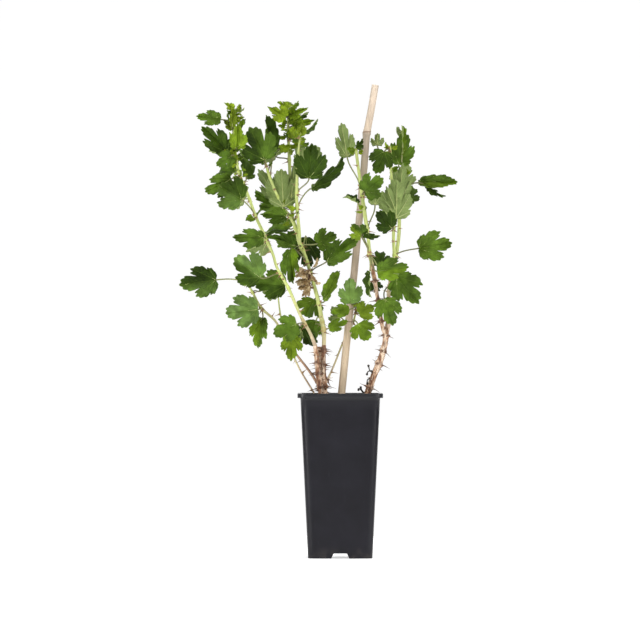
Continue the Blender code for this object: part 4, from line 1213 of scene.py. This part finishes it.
woodForm = {
    "sides": 26,
    "stride": 1.1 * mm,
    "ridge": 0.13,             # this and the next two in radii
    "crumble": 0.08,
    "ringSwell": 0.36,
    "ringHalf": 2.0 * mm,
    "ringWaver": 1.0 * mm,
    "ringMark": 1.9,
    "ridgeScales": (2.6, 55),      # how closely the ridges lie round the stem and along it
    "crumbleScales": (5.5, 420),
    "bareBelow": 208,
    "bristleGap": {"left": 2.7 * mm, "right": 10 * mm},
    "bristles": (4.0 * mm, 10.0 * mm),
    "bristleRadius": 0.56 * mm,
    "ringSpines": (8.5 * mm, 13.0 * mm),
    "ringSpineCount": 4,
    "ringSpineTurn": 1.57,
    "ringSpineRadius": 0.8 * mm,
    "brownPatches": 0.62,
    "flakes": 46,
    "flakeLengths": (5.0, 12.0),
    "flakeWidths": (0.7, 1.5),
    "flakeLifts": (0.6, 2.4),
    # heights in millimetres of the dark rings that old buds have left
    "rings": {
        "woodMain": (222, 249, 268), "woodOuter": (220, 238, 252), "woodStub": (246, 271),
        "woodLow": (216,), "woodMid": (229,), "woodRight": (220, 250, 267, 287),
        "forkLeft": (306, 333, 358), "forkRight": (318,),
    },
}
stumps = {
    "left": {"place": (7, -3), "top": 11.0, "bottom": 5.0, "low": 120},
    "right": {"place": (56.5, -3), "top": 6.4, "bottom": 3.6, "low": 135},
}
stumpTop = 205.0
stumpSteps = 60
deadBits = [   # black dead twigs beside the right stem: where each starts, bends and ends
    ((68, -9, 238), (64, -11, 242), (62, -12, 249)), ((67, -9, 241), (62, -12, 240), (60, -12, 235)),
    ((64, -7, 231), (61, -9, 229), (61, -9, 223)), ((58, -6, 211), (54, -9, 216), (52, -10, 221)),
    ((56, -7, 212), (51, -10, 218), (49, -11, 215)),
]


def woodAt(name, height):
    return stemAt(name, height, 2 * mm, between=False)


def barkRelief(route, rings, shift):
    middles = [height * mm for height in rings]
    ridgeRound, ridgeAlong = woodForm["ridgeScales"]
    crumbleRound, crumbleAlong = woodForm["crumbleScales"]

    def relief(angle, ring):
        height = route[ring].z
        around = Vector((math.cos(angle), math.sin(angle), 0.0))
        ridge = noise.noise(around * ridgeRound + Vector((shift, 0, height * ridgeAlong)))
        crumble = noise.noise(around * crumbleRound + Vector((0, shift, height * crumbleAlong)))
        uneven = woodForm["ringWaver"] * math.sin(angle + shift)
        near = bells(height + uneven, middles, woodForm["ringHalf"])
        near *= 0.65 + 0.5 * math.sin(2 * angle + 3 * shift)
        return 1 + woodForm["ridge"] * ridge + woodForm["crumble"] * crumble + woodForm["ringSwell"] * near

    return relief


def addWood(body, name, draw):
    route, radii = stemRoute(name, woodForm["stride"])
    rings = woodForm["rings"][name]
    shape = sweptTube(route, radii, woodForm["sides"], barkRelief(route, rings, draw.uniform(0, 50)))
    look = lookOf(shape)
    for vert in shape.verts:
        x, y, z = vert.co
        patch = 0.6 + noise.noise(vert.co * 210) * 1.1
        near = patch * bells(z / mm, rings, woodForm["ringMark"])
        brown = noise.noise(Vector((x * 190, y * 190, z * 62 + 9)))
        near += woodForm["brownPatches"] * withinOne(brown * 4 - 0.3)
        peeled = noise.noise(Vector((x * 260, y * 260, z * 48)))
        vert[look] = (withinOne(near), withinOne(peeled * 2.4), 0.0, 0.5)
    smoothFaces(shape)
    addTo(body, shape)


def addStump(body, form):
    x, y = form["place"]
    route = []
    radii = []
    for step in range(stumpSteps + 1):
        share = step / stumpSteps
        height = form["low"] + (stumpTop - form["low"]) * share
        shoulder = math.sqrt(max(0.0, 1 - max(0.0, (share - 0.93) / 0.075) ** 2))
        route.append(Vector((x, y, height)) * mm)
        radius = form["bottom"] + (form["top"] - form["bottom"]) * share
        radii.append(radius * (0.45 + 0.55 * shoulder) * mm)
    shape = sweptTube(route, radii, 30, barkRelief(route, (), x))
    paint(shape, (0.25, 0.0, 0.0, 0.5))
    addTo(body, shape)


def addRingSpines(body, name, draw):
    # Each old ring carries a fan of strong thorns.
    for height in woodForm["rings"][name]:
        place, radius, way = woodAt(name, height * mm)
        start = anyAngle(draw)
        for number in range(woodForm["ringSpineCount"]):
            angle = start + number * woodForm["ringSpineTurn"] + draw.uniform(-0.45, 0.45)
            aside = asideOf(way, angle)
            out = (aside + way * draw.uniform(-0.35, 0.35)).normalized()
            root = place + aside * radius * 0.75
            length = radius * 0.25 + draw.uniform(*woodForm["ringSpines"])
            thick = woodForm["ringSpineRadius"]
            addTo(body, spineShape(root, out, length, thick, 0.0, draw.uniform(0, 0.25)))


def addWoodBristles(body, name, gap, draw):
    height = max(stemRows[name][0][2], woodForm["bareBelow"]) * mm
    while height < (stemRows[name][-1][2] - 2) * mm:
        place, radius, way = woodAt(name, height)
        aside = asideOf(way, anyAngle(draw))
        out = (aside + way * draw.uniform(-0.4, 0.4)).normalized()
        root = place + aside * radius * 0.85
        length = draw.uniform(*woodForm["bristles"])
        addTo(body, spineShape(root, out, length, woodForm["bristleRadius"], 0.1, 0.1))
        height += gap * draw.uniform(0.5, 1.3)


def addFlake(body, name, draw):
    # A strip of papery bark, held at one end and curling off at the other.
    rows = stemRows[name]
    height = draw.uniform(max(woodForm["bareBelow"], rows[0][2]), rows[-1][2] - 4) * mm
    place, radius, way = woodAt(name, height)
    aside = asideOf(way, anyAngle(draw))
    across = way.cross(aside)
    length = draw.uniform(*woodForm["flakeLengths"]) * mm
    width = draw.uniform(*woodForm["flakeWidths"]) * mm
    lift = draw.uniform(*woodForm["flakeLifts"]) * mm
    shape = newShape()
    bmesh.ops.create_grid(shape, x_segments=2, y_segments=9, size=0.5)
    for vert in shape.verts:
        share = vert.co.y + 0.5
        taper = 1 - 0.6 * share
        off = radius * 0.98 + lift * share ** 2
        curl = 0.35 * mm * math.cos(vert.co.x * 3.0)
        vert.co = (place + way * length * (share - 0.3) + aside * (off + curl)
                   + across * vert.co.x * width * taper)
    bmesh.ops.solidify(shape, geom=shape.faces[:], thickness=0.14 * mm)
    bmesh.ops.recalc_face_normals(shape, faces=shape.faces)
    paint(shape, (0.0, draw.uniform(0.5, 1.0), 0.0, 0.5))
    addTo(body, shape)


def addCut(body, name):
    # The pale wood of a pruned end.
    place, radius, way = woodAt(name, stemRows[name][-1][2] * mm)
    shape = newShape()
    bmesh.ops.create_cone(shape, cap_ends=True, segments=24, radius1=radius * 0.82, radius2=radius * 0.74,
                          depth=0.9 * mm)
    tilt = (way + Vector((0.25, -0.2, 0))).normalized().to_track_quat("Z", "X").to_matrix().to_4x4()
    shape.transform(Matrix.Translation(place + way * 0.3 * mm) @ tilt)
    paint(shape, (0.0, 0.0, 1.0, 0.5))
    addTo(body, shape)


def addDeadBit(body, points):
    # A bent black twig with a shrivelled end.
    route, radii = smoothRoute([Vector(point) * mm for point in points],
                               [0.9 * mm, 0.7 * mm, 0.85 * mm], 0.7 * mm)
    knob = len(radii) - 3
    radii = [radius + 0.75 * mm * bells(index, [knob], 1.8) for index, radius in enumerate(radii)]
    radii[-1] *= 0.4
    shape = sweptTube(route, radii, 8, lambda angle, ring: 1 + 0.22 * math.sin(3 * angle + 1.9 * ring))
    paint(shape, (0.0, 0.0, 0.0, 0.5), 2)
    addTo(body, shape)


def growCrown(pieceName, side, stems, cuts, bits):
    node = side + "_crown_wood"
    draw = random.Random(node)
    body = newShape()
    addStump(body, stumps[side])
    for name in stems:
        addWood(body, name, draw)
    for name in cuts:
        addCut(body, name)
    for number in range(woodForm["flakes"]):
        addFlake(body, stems[number % len(stems)], draw)
    thorns = newShape()
    for name in stems:
        addRingSpines(thorns, name, draw)
        addWoodBristles(thorns, name, woodForm["bristleGap"][side], draw)
    smoothFaces(thorns, 1)
    addTo(body, thorns)
    for points in bits:
        addDeadBit(body, points)
    finishPiece(pieceName, body, crownSlots, [node], 55)


leftWood = ["woodMain", "woodOuter", "woodStub", "woodLow", "woodMid"]
growCrown("leftCrown", "left", leftWood, ["woodStub"], [])
growCrown("rightCrown", "right", ["woodRight", "forkLeft", "forkRight"], [], deadBits)
print("old wood grown")


# The dead spur

spurForm = {
    "on": "main",
    "height": 348.6,
    "way": (-0.94, -0.31, -0.15),
    "roll": 2.3,
    "crumple": 2.4 * mm,
    "scraps": 52,
    "scrapHeights": (349, 371),
    "scrapLengths": (7.0, 14.0),
    "scrapReach": (2.0, 11.0),
}


def addDeadLeaf(body, row, flat, phase):
    base, length, forward, side, face = leafFrame(row)
    shape = bmesh.new()
    shape.from_mesh(flat)
    look = lookOf(shape)
    for vert in shape.verts:
        u = vert.co.x
        roll = vert.co.y * row[5] * spurForm["roll"]
        height = 0.30 * (1 - math.cos(roll * 1.4)) - 0.2 * u * u
        place = base + length * (forward * u + side * math.sin(roll) / spurForm["roll"] + face * height)
        crumple = noise.noise(place * 160 + Vector((phase, 0, 0))) * spurForm["crumple"]
        vert.co = place + face * (vert.co.z * 1.6 + crumple * vert[look][3])
    smoothFaces(shape)
    addTo(body, shape)
    joint = stemAt(row[0], row[1] * mm)[0]
    addStalk(body, base, joint, forward, 1, random.Random(phase), 0.6)


def scrapRow(draw):
    # A shrivelled scrap that hangs off the spur to the left.
    height = draw.uniform(*spurForm["scrapHeights"])
    joint = stemAt("dry", height * mm)[0] / mm
    out = Vector((draw.uniform(-1.3, 0.25), draw.uniform(-0.7, 0.7), draw.uniform(-1.1, 0.4))).normalized()
    base = joint + out * draw.uniform(*spurForm["scrapReach"])
    way = (out + Vector((draw.uniform(-1, 0.4), draw.uniform(-1, 1), draw.uniform(-1, 0.6)))).normalized()
    tip = base + way * draw.uniform(*spurForm["scrapLengths"])
    return ("dry", height, base, tip, draw.uniform(-80, 80), draw.uniform(0.35, 0.8))


def makeSpur():
    body = newShape()
    joint, radius, way = stemAt(spurForm["on"], spurForm["height"] * mm)
    start = joint + Vector(spurForm["way"]).normalized() * radius
    route, radii = stemRoute("dry", 2 * mm)
    shape = sweptTube([start] + route, [radii[0] * 1.4] + radii, 10,
                      lambda angle, ring: 1 + 0.12 * math.sin(2.2 * ring))
    paint(shape, (0.9, 0.2, 0, 0.5), 1)
    addTo(body, shape)
    flatDead = flatLeaf(youngHalf, blade["youngRings"], blade["tinySteps"])
    flatScrap = flatLeaf(tinyHalf, blade["tinyRings"], blade["tinySteps"])
    for index, row in enumerate(dryLeaves):
        addDeadLeaf(body, row, flatDead, 1.1 * index)
    draw = random.Random(spurForm["scraps"])
    for number in range(spurForm["scraps"]):
        addDeadLeaf(body, scrapRow(draw), flatScrap, 0.7 * number)
    for flat in (flatDead, flatScrap):
        bpy.data.meshes.remove(flat)
    finishPiece("deadSpur", body, spurSlots, ["dried_spur"], 60)


makeSpur()
print("dead spur made")


# Bamboo cane

cane = {
    "route": [(9.2, 10, 13), (28, 10, 213), (37, 10, 303), (44, 11, 366), (52, 12, 450), (57, 12, 505),
              (60, 12, 546), (66, 12, 577), (71.5, 12, 610)],
    "sides": 40,
    "baseRadius": 5.1 * mm,
    "topRadius": 4.5 * mm,
    "nodes": (58, 303, 548),
    # each node's swelling, groove and lip: how far above it, half how high and how far out
    "nodeForm": [(0.0, 4.0, 0.8 * mm), (1.3, 0.55, -0.42 * mm), (-0.5, 0.8, 0.16 * mm)],
    "scarAbove": 1.3,
    "scarHalf": 0.8,
    "pithRadius": 1.3 * mm,
    "pithDepth": 7.0,
    "farStep": 5.0,
    "middleStep": 2.0,
    "nearStep": 0.55,
}
caneLow, caneTop = cane["route"][0][2], cane["route"][-1][2]


def caneAt(height):
    height = min(height, caneTop)
    for lower, upper in zip(cane["route"], cane["route"][1:]):
        if height <= upper[2]:
            share = (height - lower[2]) / (upper[2] - lower[2])
            return Vector(lower).lerp(Vector(upper), share) * mm


def caneRadius(height):
    share = (height - caneLow) / (caneTop - caneLow)
    radius = cane["baseRadius"] + (cane["topRadius"] - cane["baseRadius"]) * share
    for above, half, out in cane["nodeForm"]:
        radius += out * bells(height - above, cane["nodes"], half)
    return radius


def caneRings():
    # Heights and radii up the outside, over the sawn top and down into the pith.
    pith = cane["pithRadius"]
    rings = [(caneLow, pith)]
    height = caneLow
    while height < caneTop:
        rings.append((height, caneRadius(height)))
        near = min(abs(height - node) for node in cane["nodes"])
        height += cane["nearStep"] if near < 6 else cane["farStep"] if near > 12 else cane["middleStep"]
    edge = caneRadius(caneTop)
    return rings + [(caneTop - 0.3, edge), (caneTop, edge - 0.3 * mm), (caneTop - 0.1, pith * 1.5),
                    (caneTop - 0.3, pith), (caneTop - cane["pithDepth"], pith * 0.9)]


def bambooSkin():
    # Red marks a node's scar, green the sawn end, blue the pith.
    material, place = newMaterial("bamboo skin")
    red, green, blue = readLook(material)[:3]
    climb = rangeOf(heightOf(place), 0.2, 0.61, 0.0, 1.0, False)
    colour = rampOf(climb, (0.0, (0.74, 0.59, 0.40)), (0.20, (0.68, 0.53, 0.36)),
                    (0.27, (0.54, 0.415, 0.305)), (0.55, (0.47, 0.375, 0.28)), (0.845, (0.42, 0.34, 0.255)),
                    (0.853, (0.64, 0.51, 0.385)), (1.0, (0.68, 0.56, 0.44)))
    fibres = fibresOf(place, 1100.0)
    streak = rangeOf(fibres["Fine"], 0.3, 0.7, 0.86, 1.10, False)
    patch = rangeOf(fibres["Broad"], 0.3, 0.7, 0.90, 1.08, False)
    colour = shadedBy(colour, calc("MULTIPLY", streak, patch))
    spots = rangeOf(cellsOf(stretched(place, 1, 1, 0.4), 260.0), 0.06, 0.13, 0.45, 0.0)
    colour = layered(colour, (spots, (0.20, 0.12, 0.07)), (calc("MULTIPLY", red, 0.85), (0.17, 0.085, 0.045)),
                     (green, (0.74, 0.58, 0.38)), (blue, (0.30, 0.20, 0.12)))
    gloss = rangeOf(fibres["Broad"], 0.3, 0.7, 0.36, 0.56, False)
    return finishMaterial(material, colour, gloss, fibres["Fine"], 0.4, 0.00025)


def makeCane():
    rings = caneRings()
    last = len(rings) - 1

    def placeAt(share, along):
        height, radius = rings[round(along * last)]
        way = (caneAt(height + 3) - caneAt(max(caneLow, height - 3))).normalized()
        across = Vector((0, 1, 0)).cross(way).normalized()
        angle = 2 * math.pi * (share % 1.0)
        bent = 1 + 0.018 * math.cos(2 * angle + height * 0.01) + 0.008 * math.sin(5 * angle)
        return roundPlace(caneAt(height), radius * bent, angle, across, way.cross(across))

    body = rolledSheet(cane["sides"], last, placeAt)
    look = lookOf(body)
    for vert in body.verts:
        height = vert.co.z / mm
        below = caneTop * mm - vert.co.z
        away = (vert.co - caneAt(height)).length
        scar = bells(height - cane["scarAbove"], cane["nodes"], cane["scarHalf"])
        sawn = 1.0 if below < 0.8 * mm and away < caneRadius(height) - 0.2 * mm else 0.0
        pith = 1.0 if below < 9 * mm and away < cane["pithRadius"] * 1.1 else 0.0
        vert[look] = (min(1.0, scar), max(sawn, pith), pith, 0.5)
    smoothFaces(body)
    finishPiece("bambooCane", body, [bambooSkin()], ["bamboo_cane"], 38)


makeCane()
print("cane made")


# Pot

potLow, potHigh = (Vector(corner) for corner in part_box("pot"))
potMiddle = (potLow + potHigh) / 2
potTop = potHigh.z
potForm = {
    "neck": potTop - 5.7 * mm,     # where the tapered wall meets the rim
    "rimHalf": (potHigh.x - potLow.x) / 2,
    "rimCorner": 12.5 * mm,
    "neckHalf": 51.2 * mm,
    "neckCorner": 10.5 * mm,
    "footHalf": 41.5 * mm,
    "footCorner": 9.0 * mm,
    "wall": 1.6 * mm,
    "floorTop": 10.0 * mm,
    "floorThickness": 1.8 * mm,
    "webCorner": 26.0 * mm,
    "notchHeight": 6.5 * mm,
    "notchBottom": 25.0 * mm,      # how wide it is, the bottom 2 mm under the pot
    "notchTop": 17.4 * mm,
    "notchRound": 1.1 * mm,
    "drainRadius": 4.0 * mm,
    "drainOffset": 22.0 * mm,
    "cornerSteps": 9,
    "sideSteps": 9,
}
potAround = 4 * (potForm["cornerSteps"] + potForm["sideSteps"])


def tapered(name, height):
    # The outside's half width or corner radius, which grows evenly from the foot to the neck.
    foot = potForm["foot" + name]
    return foot + (potForm["neck" + name] - foot) * height / potForm["neck"]


def wallRing(height, inset=0.0):
    # The wall's outside at a height, or a ring that lies inset from it: half width, corner radius and height.
    return tapered("Half", height) - inset, tapered("Corner", height) - inset, height


def ringsNear(ring, *offsets):
    # Rings that differ from one by a few millimetres in half width, corner radius and height.
    return [tuple(size + more * mm for size, more in zip(ring, offset)) for offset in offsets]


def squarePlace(half, corner, height, share):
    # A point on a rounded square: each quarter is an arc and then a straight side.
    steps = potForm["cornerSteps"] + potForm["sideSteps"]
    quarter, step = divmod(round((share % 1.0) * 4 * steps), steps)
    centre = half - corner
    if step <= potForm["cornerSteps"]:
        angle = step / potForm["cornerSteps"] * math.pi / 2
        flat = Vector((centre + corner * math.cos(angle), centre + corner * math.sin(angle), 0))
    else:
        along = (step - potForm["cornerSteps"]) / potForm["sideSteps"]
        flat = Vector((centre - 2 * centre * along, half, 0))
    flat = Matrix.Rotation(quarter * math.pi / 2, 3, "Z") @ flat
    return Vector((potMiddle.x + flat.x, potMiddle.y + flat.y, height))


def potProfile():
    # Rings up from under the raised floor, over the foot, the wall and the rim, and down the inside.
    foot, web, wall = potForm["footHalf"], potForm["webCorner"], potForm["wall"]
    low, neck = potForm["floorTop"], potForm["neck"]
    rim, rimCorner = potForm["rimHalf"], potForm["rimCorner"]
    under = low - potForm["floorThickness"]
    profile = [(tapered("Half", under) - wall, web, under)]
    profile += ringsNear((foot - wall, web, 0.0), (0, 0, 0.3), (0.3, 0, 0))
    profile += ringsNear((foot, potForm["footCorner"], 0.0), (-0.5, -0.5, 0), (-0.1, -0.1, 0.15))
    profile += [wallRing(0.6 * mm + (neck - 1.8 * mm) * step / 14) for step in range(14)]
    profile += ringsNear(wallRing(neck), (-0.05, 0, -0.9), (0.25, 0, -0.2), (0.9, 0.5, 0))
    profile += ringsNear((rim, rimCorner, neck), (-0.5, -0.5, 0), (-0.12, -0.12, 0.12), (0, 0, 0.5))
    profile += ringsNear((rim, rimCorner, potTop), (0, 0, -0.8), (-0.2, -0.2, -0.24), (-0.8, -0.8, 0))
    profile += ringsNear(wallRing(potTop, wall), (0.6, 0.6, 0), (0.15, 0, -0.15), (0, 0, -0.7))
    profile += [wallRing(potTop - (potTop - low) * step / 6, wall) for step in range(1, 6)]
    return profile + ringsNear(wallRing(low, wall), (0, 0, 1.2), (-0.4, 0, 0.3), (-1.2, 0, 0))


def cutFrom(piece, shape, name):
    bmesh.ops.recalc_face_normals(shape, faces=shape.faces)
    cutter = addObject(name, meshFrom(shape, name))
    cut = piece.modifiers.new(name, "BOOLEAN")
    cut.object = cutter
    bpy.context.view_layer.update()
    whole = piece.evaluated_get(bpy.context.evaluated_depsgraph_get())
    carved = bpy.data.meshes.new_from_object(whole)
    piece.modifiers.remove(cut)
    used = (piece.data, cutter.data)
    piece.data = carved
    bpy.data.objects.remove(cutter)
    for mesh in used:
        bpy.data.meshes.remove(mesh)


def cutNotches(piece):
    # A bar with round upper edges takes out the notches of two facing sides at once.
    for turn in (0.0, math.pi / 2):
        bar = bmesh.new()
        bmesh.ops.create_cube(bar, size=1.0)
        upper = [edge for edge in bar.edges if edge.verts[0].co.z > 0 and edge.verts[1].co.z > 0
                 and abs(edge.verts[0].co.x - edge.verts[1].co.x) > 0.5]
        for vert in bar.verts:
            width = potForm["notchTop"] if vert.co.z > 0 else potForm["notchBottom"]
            height = potForm["notchHeight"] if vert.co.z > 0 else -2 * mm
            vert.co = Vector((vert.co.x * 3 * potForm["footHalf"], vert.co.y * width, height))
        bmesh.ops.bevel(bar, geom=upper, offset=potForm["notchRound"], segments=4, profile=0.5,
                        affect="EDGES", material=-1)
        bar.transform(Matrix.Translation((potMiddle.x, potMiddle.y, 0)) @ Matrix.Rotation(turn, 4, "Z"))
        cutFrom(piece, bar, "notchBar")


def cutDrains(piece):
    # One hole in the middle of the floor and four round it.
    thick = potForm["floorThickness"]
    quarters = [Matrix.Rotation(quarter * math.pi / 2, 3, "Z") for quarter in range(4)]
    centre = Vector((potMiddle.x, potMiddle.y, potForm["floorTop"] - thick / 2))
    for way in [Vector()] + [turn @ Vector((potForm["drainOffset"], 0, 0)) for turn in quarters]:
        drill = bmesh.new()
        bmesh.ops.create_cone(drill, cap_ends=True, segments=32, radius1=potForm["drainRadius"],
                              radius2=potForm["drainRadius"], depth=3 * thick,
                              matrix=Matrix.Translation(centre + way))
        cutFrom(piece, drill, "drain")


def blackPlastic():
    material, place = newMaterial("black moulded plastic")
    height = heightOf(place)
    cloud = noiseOf(place, 22.0, 4.0)
    worn = rangeOf(noiseOf(stretched(place, 1, 1, 0.12), 330.0, 5.0, 0.7), 0.60, 0.74, 0.0, 0.28)
    # a painted highlight: a lighter band round the top of the rim
    rim = rangeOf(height, 0.2025, 0.2050, 0.0, 0.75)
    low = rangeOf(height, 0.001, 0.02, 0.14, 0.0)
    dust = calc("MULTIPLY", low, rangeOf(noiseOf(place, 90.0, 5.0), 0.42, 0.66))
    colour = rampOf(cloud, (0.3, (0.0052, 0.0048, 0.0078)), (0.7, (0.0102, 0.0098, 0.0145)))
    colour = layered(colour, (worn, (0.034, 0.034, 0.042)), (rim, (0.026, 0.027, 0.029)),
                     (dust, (0.10, 0.085, 0.065)))
    gloss = weighted((rangeOf(cloud, 0.3, 0.7, 0.30, 0.38, False), 1.0), (worn, 0.5))
    return finishMaterial(material, colour, gloss, noiseOf(place, 1600.0, 2.0), 0.16, 0.0002, 0.23)


def makePot():
    profile = potProfile()
    last = len(profile) - 1
    body = rolledSheet(potAround, last,
                       lambda share, along: squarePlace(*profile[round(along * last)], share))
    paint(body, (0, 0, 0, 0.5))
    piece = finishPiece("blackPot", body, [blackPlastic()], ["pot"], 35)
    cutNotches(piece)
    cutDrains(piece)
    piece.data.shade_smooth()
    piece.data.set_sharp_from_angle(angle=math.radians(32))


makePot()
print("pot made")


# Soil

soil = {
    "top": 199.0 * mm,
    "mound": 2.4 * mm,
    "gap": 0.3 * mm,
    "rings": 34,
    "lump": 1.3 * mm,
    "crumbs": 1500,
    "crumbSizes": (0.5, 1.9),
    "chips": 150,
    "chipLengths": (4, 10),
    "fibres": 46,
    "fibreLengths": (6, 16),
    "fibreRadius": 0.28 * mm,
    "seed": 5,
}
soilHalf = tapered("Half", soil["top"]) - potForm["wall"]


def soilPlace(x, y, lift=0.0):
    # A point on the lumpy top, or a lift above it.
    across = max(abs(x - potMiddle.x), abs(y - potMiddle.y)) / soilHalf
    broad = noise.noise(Vector((x * 70, y * 70, 0.3)))
    fine = noise.noise(Vector((x * 260, y * 260, 7.1)))
    lumps = soil["lump"] * (0.7 * broad + 0.45 * fine) * max(0.0, 1 - across ** 6)
    height = soil["top"] + soil["mound"] * (1 - across ** 2) + lumps
    return Vector((x, y, height + lift))


def soilMix():
    # Red is each bit's own chance value, green marks bark chips and fibres.
    material, place = newMaterial("growing mix")
    red, green = readLook(material)[:2]
    colour = rampOf(noiseOf(place, 320.0, 6.0, 0.7), (0.3, (0.012, 0.007, 0.005)),
                    (0.5, (0.036, 0.021, 0.013)), (0.72, (0.085, 0.052, 0.031)))
    tint = rampOf(red, (0.0, (0.016, 0.010, 0.007)), (0.6, (0.070, 0.038, 0.021)),
                  (1.0, (0.19, 0.105, 0.055)))
    colour = blendOf(calc("MULTIPLY", green, 0.7), colour, tint)
    return finishMaterial(material, colour, 0.92, noiseOf(place, 700.0, 5.0, 0.7), 0.9, 0.001)


def insidePot(draw):
    reach = soilHalf - 3 * mm
    return potMiddle.x + draw.uniform(-reach, reach), potMiddle.y + draw.uniform(-reach, reach)


def addCrumb(body, draw):
    x, y = insidePot(draw)
    size = draw.uniform(*soil["crumbSizes"]) * mm
    shape = newShape()
    bmesh.ops.create_icosphere(shape, subdivisions=1, radius=size)
    turn = Quaternion(Vector((draw.uniform(-1, 1), draw.uniform(-1, 1), 1)).normalized(), anyAngle(draw))
    for vert in shape.verts:
        place = vert.co * draw.uniform(0.72, 1.1)
        vert.co = turn @ Vector((place.x, place.y * 0.75, place.z * 0.6)) + soilPlace(x, y, size * 0.25)
    paint(shape, (draw.random() * 0.6, 1.0, 0, 0.5))
    addTo(body, shape)


def addChip(body, draw):
    x, y = insidePot(draw)
    length = draw.uniform(*soil["chipLengths"]) * mm
    shape = newShape()
    bmesh.ops.create_cube(shape, size=1.0)
    bmesh.ops.subdivide_edges(shape, edges=shape.edges[:], cuts=1, use_grid_fill=True)
    turn = Matrix.Rotation(anyAngle(draw), 3, "Z") @ Matrix.Rotation(draw.uniform(-0.35, 0.35), 3, "Y")
    for vert in shape.verts:
        blunt = 1 - 0.25 * abs(vert.co.x * 2) * abs(vert.co.y * 2)
        place = Vector((vert.co.x * length * draw.uniform(0.85, 1.1) * blunt,
                        vert.co.y * length * 0.4 * draw.uniform(0.7, 1.1),
                        vert.co.z * 1.5 * mm * draw.uniform(0.6, 1.1)))
        vert.co = turn @ place + soilPlace(x, y, 0.5 * mm)
    paint(shape, (0.45 + 0.55 * draw.random(), 1.0, 0, 0.5))
    for face in shape.faces:
        face.smooth = False
    addTo(body, shape)


def addFibre(body, draw):
    x, y = insidePot(draw)
    angle = anyAngle(draw)
    length = draw.uniform(*soil["fibreLengths"]) * mm
    bend = draw.uniform(-0.8, 0.8)
    reach = soilHalf - 1.5 * mm
    route = []
    for step in range(9):
        share = step / 8
        out = length * share * Vector((math.cos(angle + bend * share), math.sin(angle + bend * share)))
        kept = [middle + min(reach, max(-reach, place - middle))
                for middle, place in zip(potMiddle, (x + out.x, y + out.y))]
        route.append(soilPlace(*kept, (0.4 + 0.9 * math.sin(math.pi * share)) * mm))
    shape = sweptTube(route, [soil["fibreRadius"]] * 9, 5)
    paint(shape, (0.9, 1.0, 0, 0.5))
    addTo(body, shape)


def makeSoil():
    low = potForm["floorTop"] + soil["gap"]
    inset = potForm["wall"] + soil["gap"]
    rings = soil["rings"]

    def placeAt(share, along):
        ring = round(along * rings)
        if ring == 0:
            return squarePlace(*wallRing(low, inset), share)
        edge = squarePlace(*wallRing(soil["top"], inset), share)
        if ring == 1:
            return edge
        inward = potMiddle + (edge - potMiddle) * (1 - (ring - 1) / (rings - 0.5))
        return soilPlace(inward.x, inward.y)

    body = rolledSheet(potAround, rings, placeAt)
    paint(body, (0.3, 0.0, 0, 0.5))
    draw = random.Random(soil["seed"])
    for addBit, count in ((addCrumb, soil["crumbs"]), (addChip, soil["chips"]), (addFibre, soil["fibres"])):
        for number in range(count):
            addBit(body, draw)
    finishPiece("growingMix", body, [soilMix()], ["soil"], 35)


makeSoil()
print("soil made")
